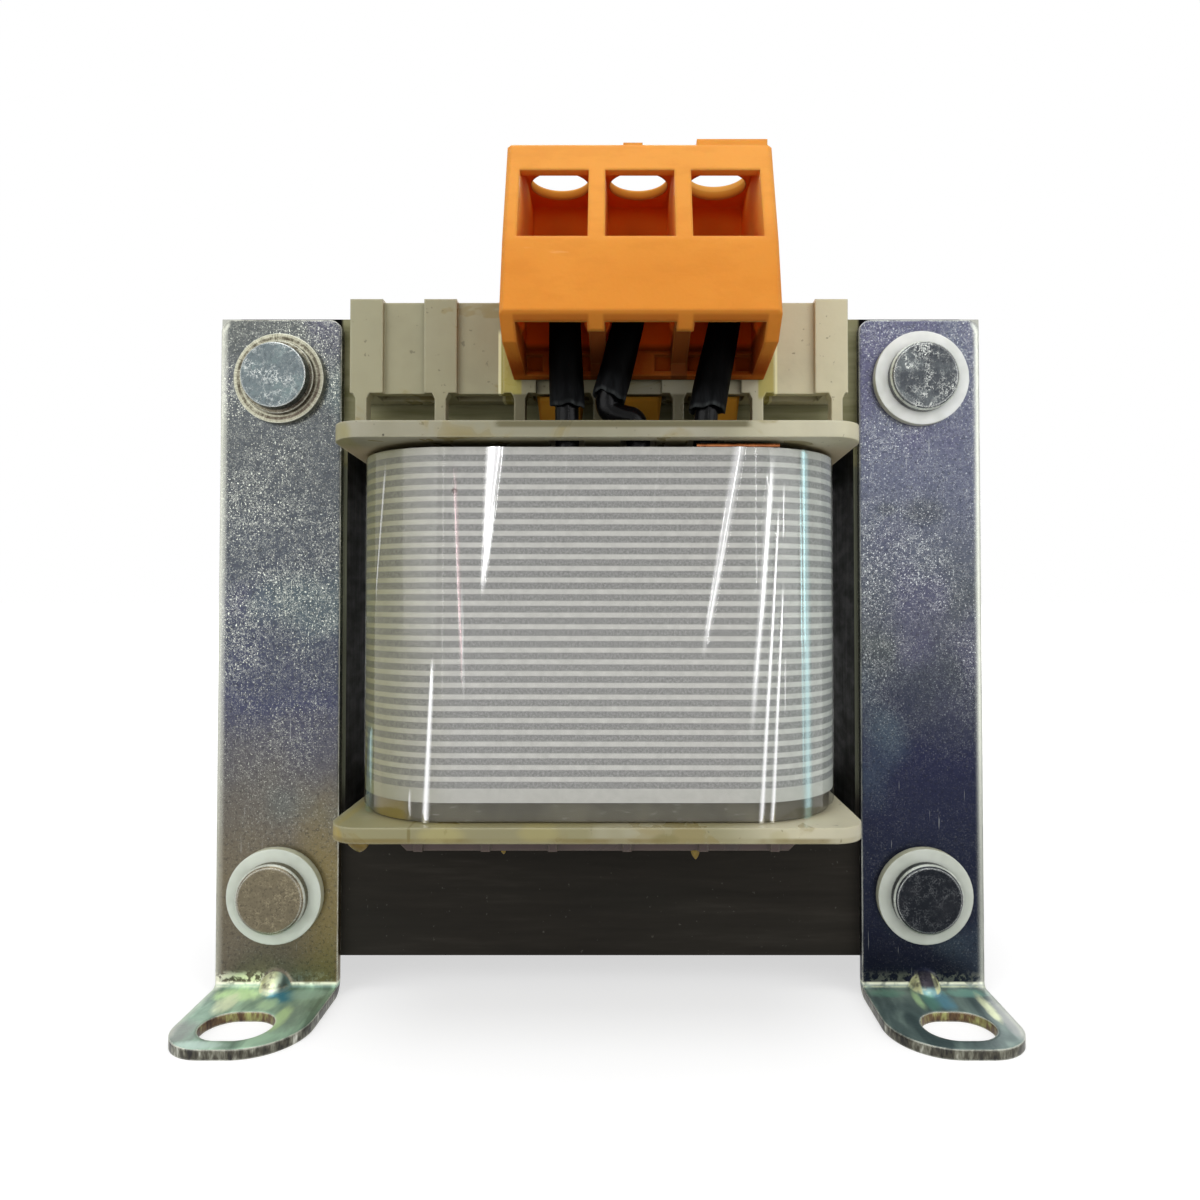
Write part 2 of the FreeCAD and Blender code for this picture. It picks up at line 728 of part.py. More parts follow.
def mitred_rod(points, radius):
    """Round rod through the points, its straight runs meeting in mitres."""
    headings = [(end - start).normalize() for start, end in zip(points, points[1:])]
    runs = []
    for number, (start, end) in enumerate(zip(points, points[1:])):
        along = headings[number]
        overrun = 3 * radius
        run = Part.makeCylinder(radius, (end - start).Length + 2 * overrun, start - along * overrun,
                                along)
        before = headings[max(number - 1, 0)] + along
        after = headings[min(number + 1, len(headings) - 1)] + along
        for place, outward in ((start, before * -1), (end, after)):
            size = 4 * overrun
            beyond = Part.makeBox(size, size, size, vec(-size / 2.0, -size / 2.0, 0))
            turn = FreeCAD.Rotation(vec(0, 0, 1), outward)
            beyond.Placement = FreeCAD.Placement(place, turn)
            run = run.cut(beyond)
        runs.append(run)
    return fuse_all(runs)


def lead_wire(centre, index):
    points = lead_points(centre, index)
    top = points[0]
    above_tag_end = block(top.x - 4, top.x + 4, top.y - 4, top.y + 4, tag_end_z, tag_end_z + 5)
    return mitred_rod(points, wire_r).cut(above_tag_end)


def lead_sleeve(centre, index):
    top, elbow = lead_points(centre, index)[:2]
    along = (elbow - top).normalize()
    drop = top.z - (high_flange_top + sleeve_end_rise[index])
    length = drop / abs(along.z) - sleeve_start
    start = top + along * sleeve_start
    bore_r = wire_r + sleeve_play
    outer = Part.makeCylinder(bore_r + sleeve_wall, length, start, along)
    return outer.cut(Part.makeCylinder(bore_r, length, start, along))


terminal_sets = {
    "terminal_housing": [terminal_housing()],
    "clamp_cages": [clamp_cage(centre) for centre in pole_x],
    "clamp_screws": [clamp_screw(centre) for centre in pole_x],
    "solder_tags": [solder_tag(centre, index) for index, centre in enumerate(pole_x)],
    "lead_wires": [lead_wire(centre, index) for index, centre in enumerate(pole_x)],
    "lead_sleeves": [lead_sleeve(centre, index) for index, centre in enumerate(pole_x)],
}
for set_name, pieces in terminal_sets.items():
    shape = pieces[0] if len(pieces) == 1 else group(pieces)
    save("front_" + set_name, shape)
    save("rear_" + set_name, to_rear(shape))
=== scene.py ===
import bpy
import json
import math
import random
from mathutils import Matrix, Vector


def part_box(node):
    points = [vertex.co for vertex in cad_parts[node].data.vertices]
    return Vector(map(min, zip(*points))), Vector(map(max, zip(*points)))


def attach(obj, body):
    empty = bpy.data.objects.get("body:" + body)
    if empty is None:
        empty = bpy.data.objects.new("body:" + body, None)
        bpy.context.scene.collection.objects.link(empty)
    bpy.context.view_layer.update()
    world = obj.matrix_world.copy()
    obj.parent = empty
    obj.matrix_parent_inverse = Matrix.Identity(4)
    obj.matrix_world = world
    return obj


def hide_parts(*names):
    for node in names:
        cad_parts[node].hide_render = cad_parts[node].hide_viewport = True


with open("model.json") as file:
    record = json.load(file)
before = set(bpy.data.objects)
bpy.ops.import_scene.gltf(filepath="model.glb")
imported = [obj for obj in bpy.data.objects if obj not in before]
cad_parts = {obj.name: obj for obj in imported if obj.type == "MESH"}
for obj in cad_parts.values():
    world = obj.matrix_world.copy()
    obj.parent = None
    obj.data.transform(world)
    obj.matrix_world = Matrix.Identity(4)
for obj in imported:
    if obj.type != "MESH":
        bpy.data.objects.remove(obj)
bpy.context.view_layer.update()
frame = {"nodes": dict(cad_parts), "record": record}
nodes = frame["nodes"]
mm = 0.001


def corners(node):
    """Lowest and highest corner of a node, in millimetres."""
    return [[round(value / mm, 3) for value in corner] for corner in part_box(node)]


# Places that the materials refer to, in metres: the front strips' sides and
# middle, the rivets' heights, their mean and their distance from it.
strip_inner_x, strip_outer_x = [corner[0] * mm for corner in corners("bracket_front_right")]
strip_x = (strip_inner_x + strip_outer_x) / 2.0
low_rivet_z, high_rivet_z = [sum(corner[2] for corner in corners(node)) / 2.0 * mm
                             for node in ("rivet_bottom_left", "rivet_top_left")]
rivet_mid_z = (low_rivet_z + high_rivet_z) / 2.0
rivet_half_z = high_rivet_z - rivet_mid_z
# The feet's top and slots, the undersides of the bobbin's two flanges, the
# core's sheets, and the height that the plating's colours are spread over.
foot_top = 1.0 * mm
slot_x = strip_x + 0.5 * mm
slot_out = 27.0 * mm
slot_straight = 0.7 * mm
low_flange = 20.0 * mm
high_flange = corners("clear_film")[1][2] * mm
sheets_per_metre = 2000.0
plated_height = 75.0 * mm

# The photograph's frame, and the camera worked out from it: its place in
# millimetres, its focal length in pixels, its upward tilt, and where its axis
# meets the picture.
picture = 1200.0
camera_place = (2.53, -112.96, 43.06)
focal_pixels = 864.9
camera_tilt = 1.215
axis_pixel = (623.3, 579.7)


# Shader helpers
class Shader:
    """One procedural material, built from small named steps."""

    def __init__(self, name):
        self.material = bpy.data.materials.new(name)
        self.material.use_nodes = True
        self.tree = self.material.node_tree
        self.surface = self.tree.nodes["Principled BSDF"]
        self.place = self.node("TexCoord").outputs["Object"]

    def feed(self, socket, value):
        if isinstance(value, bpy.types.NodeSocket):
            self.tree.links.new(value, socket)
        elif isinstance(value, tuple) and len(value) == 3 and socket.type == "RGBA":
            socket.default_value = (*value, 1.0)
        else:
            socket.default_value = value

    def node(self, kind, fed=None, **settings):
        """A node with its settings, and with values or sockets fed to its inputs."""
        made = self.tree.nodes.new("ShaderNode" + kind)
        for key, value in settings.items():
            setattr(made, key, value)
        for key, value in (fed or {}).items():
            self.feed(made.inputs[key], value)
        return made

    def set(self, **values):
        for key, value in values.items():
            self.feed(self.surface.inputs[key.replace("_", " ")], value)

    def stretched(self, scale, turn=(0.0, 0.0, 0.0)):
        fed = {"Vector": self.place, "Scale": scale, "Rotation": turn}
        return self.node("Mapping", fed).outputs["Vector"]

    def axis(self, name, source=None):
        return self.node("SeparateXYZ", {0: source or self.place}).outputs[name]

    def normal_axis(self, name):
        return self.axis(name, self.node("NewGeometry").outputs["True Normal"])

    def noise(self, per_metre, detail, rough=0.55, vector=None, distortion=0.0):
        """Clouds; the vector is a socket, or a tuple that stretches the object's place."""
        if isinstance(vector, tuple):
            vector = self.stretched(vector)
        fed = {"Vector": vector or self.place, "Scale": per_metre, "Detail": detail,
               "Roughness": rough, "Distortion": distortion}
        return self.node("TexNoise", fed).outputs["Fac"]

    def math(self, operation, a, b=0.0):
        return self.node("Math", {0: a, 1: b}, operation=operation).outputs[0]

    def times(self, a, b):
        return self.math("MULTIPLY", a, b)

    def plus(self, a, b):
        return self.math("ADD", a, b)

    def minus(self, a, b):
        return self.math("SUBTRACT", a, b)

    def over(self, a, b):
        return self.math("DIVIDE", a, b)

    def most(self, a, b):
        return self.math("MAXIMUM", a, b)

    def size(self, value):
        return self.math("ABSOLUTE", value)

    def apart(self, a, b):
        return self.size(self.minus(a, b))

    def squares(self, a, b):
        return self.plus(self.times(a, a), self.times(b, b))

    def span(self, value, low, high, to_low=0.0, to_high=1.0):
        """Eases from one result to the other between two values."""
        fed = {"Value": value, "From Min": low, "From Max": high, "To Min": to_low,
               "To Max": to_high}
        return self.node("MapRange", fed, interpolation_type="SMOOTHSTEP").outputs[0]

    def fade(self, value, low, high):
        """1 up to the low value, easing to 0 at the high one."""
        return self.span(value, low, high, 1.0, 0.0)

    def band(self, value, low, high, soft):
        """1 between two values, easing to 0 outside them."""
        return self.times(self.span(value, low - soft, low), self.fade(value, high, high + soft))

    def ramp(self, value, *stops):
        made = self.node("ValToRGB", {0: value})
        band = made.color_ramp
        while len(band.elements) < len(stops):
            band.elements.new(0.5)
        for element, (at, colour) in zip(band.elements, stops):
            element.position = at
            element.color = (*colour, 1.0)
        return made.outputs[0]

    def mix(self, share, a, b, blend="MIX"):
        fed = {0: share, 6: a, 7: b}
        return self.node("Mix", fed, data_type="RGBA", blend_type=blend).outputs[2]

    def paint(self, under, hue, share, strength):
        """A colour with another laid over it, by a share and its strength."""
        return self.mix(self.times(share, strength), under, hue)

    def by_corner(self, top_left, top_right, low_left, low_right):
        """Blend of four colours over the front of the part."""
        across = self.span(self.axis("X"), -0.02, 0.02)
        up = self.span(self.axis("Z"), 0.02, 0.055)
        return self.mix(up, self.mix(across, low_left, low_right),
                        self.mix(across, top_left, top_right))

    def bump(self, height, depth, before=None):
        fed = {"Strength": 1.0, "Distance": depth, "Height": height}
        if before is not None:
            fed["Normal"] = before
        return self.node("Bump", fed).outputs[0]

    def soft_edges(self, width):
        return self.node("Bevel", {"Radius": width}, samples=4).outputs[0]

    def edge(self, width, low, high):
        """1 along the outer edges of a solid, 0 on its flats."""
        flat = self.node("NewGeometry").outputs["True Normal"]
        fed = {0: self.soft_edges(width), 1: flat}
        along = self.node("VectorMath", fed, operation="DOT_PRODUCT").outputs["Value"]
        return self.span(self.minus(1.0, along), low, high)

    def facing_x(self):
        """X as it reads from whichever terminal side is nearer."""
        return self.times(self.axis("X"), self.math("SIGN", self.times(self.axis("Y"), -1.0)))

    def spot(self, x, out, reach_x, reach_out):
        """1 at a place on the feet, given in millimetres, fading to 0 round it."""
        across = self.over(self.minus(self.axis("X"), x * mm), reach_x * mm)
        outward = self.over(self.minus(self.size(self.axis("Y")), out * mm), reach_out * mm)
        ragged = self.minus(self.noise(900, 4, 0.65, (1.4, 0.5, 1.0)), 0.5)
        return self.fade(self.plus(self.squares(across, outward), self.times(ragged, 1.7)),
                         0.0, 1.3)

    def curls(self, per_metre, width):
        """Thin bright curly lines, broken up."""
        line = self.apart(self.noise(per_metre, 2, 0.6), 0.5)
        return self.times(self.fade(line, width * 0.3, width),
                          self.span(self.noise(per_metre * 0.4, 2), 0.42, 0.56))

    def openness(self, reach):
        """1 in the open, 0 deep in a cavity, judged over this reach."""
        return self.node("AmbientOcclusion", {"Distance": reach}, samples=8).outputs["AO"]

    def attribute(self, name, output="Fac"):
        return self.node("Attribute", attribute_name=name).outputs[output]


# Materials
def core_material():
    """Varnished sheet steel: wiped along X in front, sheet edges elsewhere."""
    s = Shader("core_sheets")
    streaks = s.noise(260, 4, 0.6, (0.25, 1.0, 2.6))
    wipes = s.noise(90, 3, 0.5, (0.5, 1.0, 1.6))
    on_edges = s.fade(s.size(s.normal_axis("Y")), 0.3, 0.7)
    sheet_phase = s.math("FRACT", s.times(s.axis("Y"), sheets_per_metre))
    sheet_lines = s.span(s.apart(sheet_phase, 0.5), 0.3, 0.5)
    rough_lines = s.times(sheet_lines, s.span(s.noise(700, 2), 0.3, 0.6, 0.4, 1.0))
    flat = s.ramp(streaks, (0.3, (0.02, 0.018, 0.015)), (0.55, (0.026, 0.0232, 0.0192)),
                  (0.8, (0.041, 0.037, 0.031)))
    flat = s.mix(s.span(wipes, 0.45, 0.75, 0.0, 0.4), flat, (0.026, 0.025, 0.021))
    # The legs beside the coil are painted near black, with the sheets' upright streaks: painted
    # shade in the gap between the coil and the strips.
    upright = s.noise(900, 3, 0.6, (1.0, 1.0, 0.02))
    side, height = s.size(s.axis("X")), s.axis("Z")
    legs = s.span(side, 0.0235, 0.0255)
    leg_tone = s.ramp(upright, (0.46, (0.0008, 0.0008, 0.0008)), (0.62, (0.0022, 0.0024, 0.002)),
                      (0.72, (0.05, 0.052, 0.044)))
    # A lighter band is painted on the leg right beside each strip: painted light.
    by_strip = s.band(side, strip_inner_x - 0.0005, strip_inner_x, 0.0002)
    leg_tone = s.paint(leg_tone, (0.24, 0.25, 0.18), by_strip, s.span(upright, 0.4, 0.6, 0.6, 1.0))
    flat = s.paint(flat, leg_tone, legs, s.span(height, 0.02, 0.024))
    # Above the top flange the same steel is painted a much lighter olive grey: painted light.
    yoke = s.times(s.span(height, high_flange - 0.0004, high_flange + 0.0004),
                   s.fade(side, strip_inner_x, strip_inner_x + 0.0004))
    flat = s.mix(yoke, flat, s.ramp(streaks, (0.3, (0.17, 0.163, 0.08)), (0.7, (0.32, 0.31, 0.19))))
    specks = s.span(s.noise(1900, 2, 0.6), 0.7, 0.76)
    flat = s.paint(flat, (0.12, 0.115, 0.1), specks, 0.4)
    # The core's top outer corners behind the strips are painted pale grey: painted light that
    # stands in for the bright background.
    behind_corner = s.times(s.span(side, 0.0397, 0.0401), s.span(height, 0.0717, 0.0721))
    flat = s.mix(behind_corner, flat, (0.5, 0.51, 0.46))
    edges = s.ramp(s.noise(420, 3, 0.6, (1.0, 4.0, 0.2)), (0.3, (0.022, 0.021, 0.02)),
                   (0.6, (0.047, 0.046, 0.044)), (0.85, (0.11, 0.112, 0.115)))
    edges = s.mix(rough_lines, edges, (0.006, 0.006, 0.006))
    colour = s.mix(on_edges, flat, edges)
    lines_height = s.times(s.times(rough_lines, -1.0), on_edges)
    relief = s.bump(lines_height, 0.00012)
    relief = s.bump(streaks, 0.00003, relief)
    s.set(Base_Color=colour, Metallic=0.1, Specular_IOR_Level=0.03, Normal=relief,
          Roughness=s.span(streaks, 0.3, 0.7, 0.32, 0.5))
    return s.material


# Hues on the feet, the palest of them painted highlights: X, distance out from the middle, reach
# along X and outward, strength, colour.
foot_hues_and_highlights = (
    (-31.0, 25.0, 1.8, 3.6, 0.6, (0.12, 0.15, 0.135)),
    (-38.2, 20.3, 2.9, 1.8, 1.0, (0.6, 0.86, 0.46)),
    (-38.7, 22.3, 1.2, 2.6, 1.0, (0.8, 0.92, 0.64)),
    (-33.6, 20.9, 1.6, 1.9, 0.95, (0.06, 0.27, 0.36)),
    (-34.3, 22.6, 1.2, 1.6, 0.9, (0.56, 0.8, 0.5)),
    (-31.8, 25.4, 0.9, 2.8, 0.95, (0.6, 0.82, 0.42)),
    (-30.9, 20.2, 2.3, 1.4, 0.8, (0.36, 0.56, 0.46)),
    (-40.6, 28.4, 2.4, 3.0, 0.8, (0.2, 0.21, 0.2)),
    (-37.6, 30.7, 3.0, 0.9, 0.75, (0.54, 0.7, 0.62)),
    (35.9, 21.4, 1.3, 2.7, 0.75, (0.16, 0.42, 0.54)),
    (34.6, 21.6, 1.0, 2.6, 0.8, (0.15, 0.36, 0.28)),
    (33.4, 21.6, 0.5, 2.4, 0.95, (0.52, 0.76, 0.42)),
    (39.0, 20.0, 2.6, 1.1, 0.8, (0.24, 0.5, 0.42)),
    (30.5, 20.0, 2.2, 1.1, 0.7, (0.16, 0.36, 0.27)),
    (41.0, 26.5, 1.0, 5.2, 0.9, (0.36, 0.38, 0.37)),
    (40.0, 23.2, 0.6, 3.4, 0.95, (0.8, 0.86, 0.56)),
)


def plating(s, level, to_right, clouds):
    """Grey violet plating: hazes, rubbed smudges, pits, glints and scratches."""
    side, height = s.axis("X"), s.axis("Z")
    left = s.ramp(level, (0.06, (0.13, 0.112, 0.08)), (0.16, (0.145, 0.122, 0.082)),
                  (0.3, (0.1, 0.094, 0.09)), (0.42, (0.05, 0.054, 0.09)),
                  (0.55, (0.05, 0.057, 0.073)), (1.0, (0.074, 0.08, 0.078)))
    olive = s.times(s.span(side, -0.0345, -0.0295), s.span(level, 0.18, 0.34, 0.8, 0.0))
    left = s.mix(olive, left, (0.19, 0.15, 0.06))
    right = s.ramp(level, (0.06, (0.008, 0.01, 0.022)), (0.2, (0.012, 0.015, 0.031)),
                   (0.34, (0.017, 0.019, 0.044)), (0.52, (0.056, 0.064, 0.068)),
                   (0.75, (0.086, 0.094, 0.135)), (1.0, (0.11, 0.114, 0.165)))
    tint = s.mix(to_right, left, right)
    cyan_haze = s.span(s.noise(60, 2, 0.5), 0.55, 0.68)
    tint = s.paint(tint, s.mix(to_right, (0.09, 0.13, 0.13), (0.07, 0.11, 0.13)), cyan_haze, 0.35)
    violet = s.span(s.noise(75, 2, 0.5, (1.3, 1.0, 0.7)), 0.5, 0.64)
    violet = s.times(violet, s.span(level, 0.36, 0.5, 0.0, 0.4))
    tint = s.mix(violet, tint, (0.07, 0.062, 0.13))
    for x, z, reach in ((0.0355, 0.0525, 0.003), (0.0314, 0.0528, 0.0014)):
        along = s.over(s.minus(side, x), reach)
        up = s.over(s.minus(height, z), reach * 0.6)
        away = s.plus(s.squares(along, up), s.times(clouds, 0.8))
        rubbed = s.span(away, 0.4, 1.5, 0.36, 0.0)
        tint = s.mix(rubbed, tint, (0.022, 0.025, 0.018))
    pits = s.span(s.noise(2600, 3, 0.7), 0.5, 0.68)
    tint = s.paint(tint, s.mix(to_right, (0.028, 0.03, 0.03), (0.012, 0.013, 0.02)), pits, 0.5)
    grains = s.span(s.noise(4700, 1, 0.5), 0.62, 0.7)
    glints = s.times(s.most(s.curls(2500, 0.022), s.curls(3900, 0.024)), 0.55)
    glints = s.most(glints, grains)
    strong = s.mix(to_right, s.span(level, 0.15, 0.5, 0.12, 0.88),
                   s.span(level, 0.3, 0.62, 0.08, 0.8))
    crowd = s.span(s.noise(120, 3), 0.35, 0.62, 0.4, 1.0)
    share = s.times(s.times(glints, strong), crowd)
    tint = s.mix(share, tint, s.mix(to_right, (0.72, 0.74, 0.64), (0.7, 0.73, 0.7)))
    leaning = s.stretched((7.0, 1.0, 0.35), (0.0, 0.35, 0.0))
    scratches = s.span(s.noise(420, 2, 0.5, leaning), 0.72, 0.76)
    return s.paint(tint, (0.5, 0.52, 0.5), scratches, 0.3)


def foot_film(s, to_right):
    """Green film over the feet, with the hues and painted highlights placed on it."""
    film = s.noise(230, 3, 0.6, (1.6, 0.4, 1.0), 0.5)
    left_foot = s.ramp(film, (0.36, (0.14, 0.23, 0.17)), (0.5, (0.26, 0.41, 0.3)),
                       (0.66, (0.44, 0.66, 0.48)))
    right_foot = s.ramp(film, (0.36, (0.06, 0.095, 0.095)), (0.5, (0.12, 0.175, 0.165)),
                        (0.66, (0.24, 0.33, 0.29)))
    green = s.mix(to_right, left_foot, right_foot)
    for x, out, reach_x, reach_out, strength, hue in foot_hues_and_highlights:
        green = s.paint(green, hue, s.spot(x, out, reach_x, reach_out), strength)
    return green


def foot_cut_edges(s, tint, mottle):
    """Cut edges of the foot: mottled in front, coppery inside the slot."""
    side, height = s.axis("X"), s.axis("Z")
    upright = s.fade(s.size(s.normal_axis("Z")), 0.5, 0.8)
    foot_rim = s.times(upright, s.fade(height, foot_top - 0.00002, foot_top + 0.00002))
    cut = s.ramp(mottle, (0.38, (0.012, 0.011, 0.009)), (0.5, (0.07, 0.065, 0.045)),
                 (0.6, (0.22, 0.22, 0.17)), (0.72, (0.7, 0.7, 0.62)))
    tint = s.mix(foot_rim, tint, cut)
    across = s.most(s.minus(s.apart(s.size(side), slot_x), slot_straight), 0.0)
    outward = s.minus(s.size(s.axis("Y")), slot_out)
    from_slot = s.squares(across, outward)
    in_slot = s.times(foot_rim, s.fade(from_slot, 0.0000088, 0.0000096))
    copper = s.ramp(mottle, (0.36, (0.04, 0.018, 0.01)), (0.5, (0.14, 0.085, 0.035)),
                    (0.66, (0.38, 0.4, 0.14)))
    return s.mix(in_slot, tint, copper)


def dart_flanks(s, tint, to_right):
    """The pressed dart catches pale light on its flanks."""
    side, height = s.axis("X"), s.axis("Z")
    on_dart = s.times(s.span(s.size(s.axis("Y")), 0.01862, 0.0188),
                      s.span(height, foot_top + 0.00004, foot_top + 0.0002))
    flank = s.noise(1100, 2, 0.6)
    pale = s.mix(s.span(side, -0.0352, -0.0337), (0.74, 0.78, 0.5), (0.2, 0.32, 0.32))
    across_dart = s.apart(side, strip_x)
    middle = s.mix(s.span(height, 0.0013, 0.0018), (0.26, 0.46, 0.46), (0.05, 0.045, 0.055))
    split = s.mix(s.span(across_dart, 0.0006, 0.0009), middle, (0.78, 0.8, 0.46))
    pale = s.mix(to_right, pale, split)
    return s.paint(tint, pale, on_dart, s.span(flank, 0.36, 0.56, 0.3, 1.0))


def zinc_material():
    """Passivated zinc on folded strip: grey violet, curly glints, green feet, painted edge
    highlights.
    """
    s = Shader("zinc_strip")
    height = s.axis("Z")
    side = s.axis("X")
    to_right = s.span(side, -0.02, 0.02)
    clouds = s.noise(70, 3, 0.6, distortion=0.6)
    drift = s.times(s.minus(clouds, 0.5), 0.014)
    level = s.over(s.plus(height, drift), plated_height)
    tint = plating(s, level, to_right, clouds)
    # The bend above each foot carries a painted pale highlight, the foot itself runs green.
    patchy = s.span(s.noise(1500, 3, 0.7), 0.46, 0.56, 0.0, 0.95)
    bend_highlight = s.times(s.band(height, 0.00105, 0.0014, 0.00025),
                   s.span(s.noise(900, 2, 0.6), 0.36, 0.5, 0.35, 1.0))
    above = s.times(s.band(height, 0.0014, 0.0021, 0.0008), patchy)
    above = s.times(above, s.span(side, -0.0375, -0.0345, 0.9, 0.12))
    bend_highlight = s.most(bend_highlight, above)
    tint = s.mix(bend_highlight, tint, (0.82, 0.82, 0.62))
    foot = s.fade(height, foot_top + 0.0001, foot_top + 0.0006)
    tint = s.mix(foot, tint, foot_film(s, to_right))
    mottle = s.noise(900, 3, 0.7, (1.0, 1.0, 0.35))
    tint = dart_flanks(s, foot_cut_edges(s, tint, mottle), to_right)
    # Edges: a painted highlight line along every edge, and a broad painted highlight along the
    # strip's outer edge.
    from_middle = s.apart(s.size(side), strip_x)
    by_dart = s.times(s.fade(from_middle, 0.002, 0.0022),
                      s.band(height, foot_top + 0.00004, 0.0034, 0.0001))
    rim = s.times(s.edge(0.0003, 0.03, 0.22), s.minus(1.0, by_dart))
    outer = s.span(s.size(side), strip_outer_x - 0.0011, strip_outer_x - 0.0005)
    broad = s.times(s.edge(0.0013, 0.008, 0.08), outer)
    broad = s.times(broad, s.span(level, 0.12, 0.4, 0.5, 1.0))
    rim_share = s.most(s.times(rim, s.span(mottle, 0.35, 0.55, 0.35, 0.95)), broad)
    colour = s.mix(rim_share, tint, s.mix(to_right, (0.97, 0.98, 0.84), (0.92, 0.95, 0.82)))
    relief = s.bump(s.noise(2100, 3, 0.7), 0.00003, s.soft_edges(0.0006))
    metal = s.times(s.span(foot, 0.0, 1.0, 0.92, 0.4), s.span(rim_share, 0.4, 0.9, 1.0, 0.5))
    s.set(Base_Color=colour, Metallic=metal, Normal=relief,
          Roughness=s.span(clouds, 0.3, 0.7, 0.28, 0.4))
    return s.material


def rivet_material():
    """Fine crystalline plating on the rivets, darker on the lower ones, with painted glints and
    painted highlights on each head's rim and bevel.
    """
    s = Shader("rivet_plating")
    base = s.by_corner((0.098, 0.118, 0.124), (0.05, 0.055, 0.062), (0.15, 0.128, 0.085),
                       (0.012, 0.014, 0.018))
    fine = s.noise(3000, 3, 0.75)
    colour = s.mix(s.span(fine, 0.36, 0.5, 0.3, 0.0), base, (0.012, 0.013, 0.015))
    haze = s.span(s.noise(420, 3, 0.6), 0.45, 0.7)
    colour = s.paint(colour, s.by_corner((0.17, 0.23, 0.22), (0.17, 0.19, 0.19),
                                         (0.17, 0.145, 0.09), (0.025, 0.026, 0.03)), haze, 0.45)
    glints = s.most(s.curls(2800, 0.045), s.span(fine, 0.61, 0.7))
    crowd = s.span(s.noise(330, 3, 0.6), 0.4, 0.64, 0.2, 0.9)
    colour = s.paint(colour, s.by_corner((0.46, 0.48, 0.46), (0.62, 0.64, 0.6), (0.3, 0.26, 0.17),
                                         (0.1, 0.105, 0.11)), glints, crowd)
    # A painted highlight round each head's edge.
    rim = s.edge(0.0003, 0.03, 0.22)
    colour = s.paint(colour, s.by_corner((0.9, 0.94, 0.92), (0.95, 0.97, 0.93), (0.9, 0.92, 0.86),
                                         (0.85, 0.88, 0.85)), rim, 0.95)
    # The head's bevel is painted pale: a painted highlight.
    bevel = s.band(s.size(s.normal_axis("Y")), 0.6, 0.8, 0.05)
    across = s.minus(s.size(s.axis("X")), strip_x)
    up = s.minus(s.apart(s.axis("Z"), rivet_mid_z), rivet_half_z)
    from_axis = s.math("SQRT", s.squares(across, up))
    bevel = s.times(bevel, s.span(from_axis, 0.00355, 0.00362))
    colour = s.paint(colour, (0.72, 0.77, 0.68), bevel, s.span(haze, 0.0, 1.0, 0.55, 0.9))
    relief = s.bump(fine, 0.00004, s.soft_edges(0.0003))
    s.set(Base_Color=colour, Metallic=s.span(bevel, 0.0, 1.0, 0.95, 0.3), Normal=relief,
          Roughness=s.span(fine, 0.3, 0.7, 0.24, 0.4))
    return s.material


def washer_material():
    """Olive brown steel with a fine radial grain, painted shade on its lower right, thin painted
    highlight rings and a painted highlight on its outer rim.
    """
    s = Shader("earth_washer_steel")
    across = s.plus(s.axis("X"), strip_x)
    above = s.minus(s.axis("Z"), high_rivet_z)
    turn = s.math("ARCTAN2", above, across)
    grain = s.noise(34, 3, 0.7, s.node("CombineXYZ", {0: turn}).outputs[0])
    flecks = s.noise(2300, 3, 0.7)
    blend = s.plus(s.times(grain, 0.35), s.times(flecks, 0.65))
    colour = s.ramp(blend, (0.36, (0.03, 0.024, 0.016)), (0.5, (0.12, 0.11, 0.078)),
                    (0.64, (0.36, 0.35, 0.27)))
    # Painted shade on the lower right.
    low_right = s.span(s.minus(across, above), 0.0, 0.006)
    colour = s.paint(colour, (0.07, 0.045, 0.035), low_right, 0.55)
    out = s.math("SQRT", s.squares(across, above))
    # Thin painted highlight rings on the face.
    ring_highlights = s.most(s.band(out, 0.00412, 0.00418, 0.00012),
                          s.band(out, 0.00462, 0.0049, 0.00012))
    colour = s.paint(colour, (0.5, 0.5, 0.38), ring_highlights, s.span(grain, 0.35, 0.6, 0.2, 0.6))
    # A painted highlight along the rim.
    rim = s.edge(0.00025, 0.03, 0.22)
    colour = s.paint(colour, (0.78, 0.8, 0.68), rim, 0.8)
    relief = s.bump(grain, 0.00004, s.soft_edges(0.0002))
    s.set(Base_Color=colour, Metallic=0.9, Normal=relief, Roughness=0.32)
    return s.material


def nylon_material():
    s = Shader("nylon_ring")
    # Each ring gets its corner's tone, lighter towards the right: painted light and shade.
    colour = s.by_corner((0.8, 0.82, 0.78), (0.92, 0.94, 0.9), (0.7, 0.75, 0.66), (0.56, 0.6, 0.51))
    whiter = s.span(s.axis("X"), 0.0, strip_outer_x)
    colour = s.paint(colour, (0.74, 0.76, 0.75), whiter, 0.3)
    colour = s.mix(s.span(s.noise(350, 2), 0.35, 0.65, 0.2, 0.0), colour, (0.25, 0.28, 0.2))
    # Side faces are tinted olive: painted shade.
    side_face = s.span(s.size(s.normal_axis("Y")), 0.3, 0.7, 0.55, 0.0)
    colour = s.mix(side_face, colour, (0.42, 0.4, 0.22))
    s.set(Base_Color=colour, Roughness=0.34, Normal=s.soft_edges(0.0002), Specular_IOR_Level=0.35,
          Subsurface_Weight=0.4, Subsurface_Radius=(0.8, 0.8, 0.7), Subsurface_Scale=0.001)
    return s.material


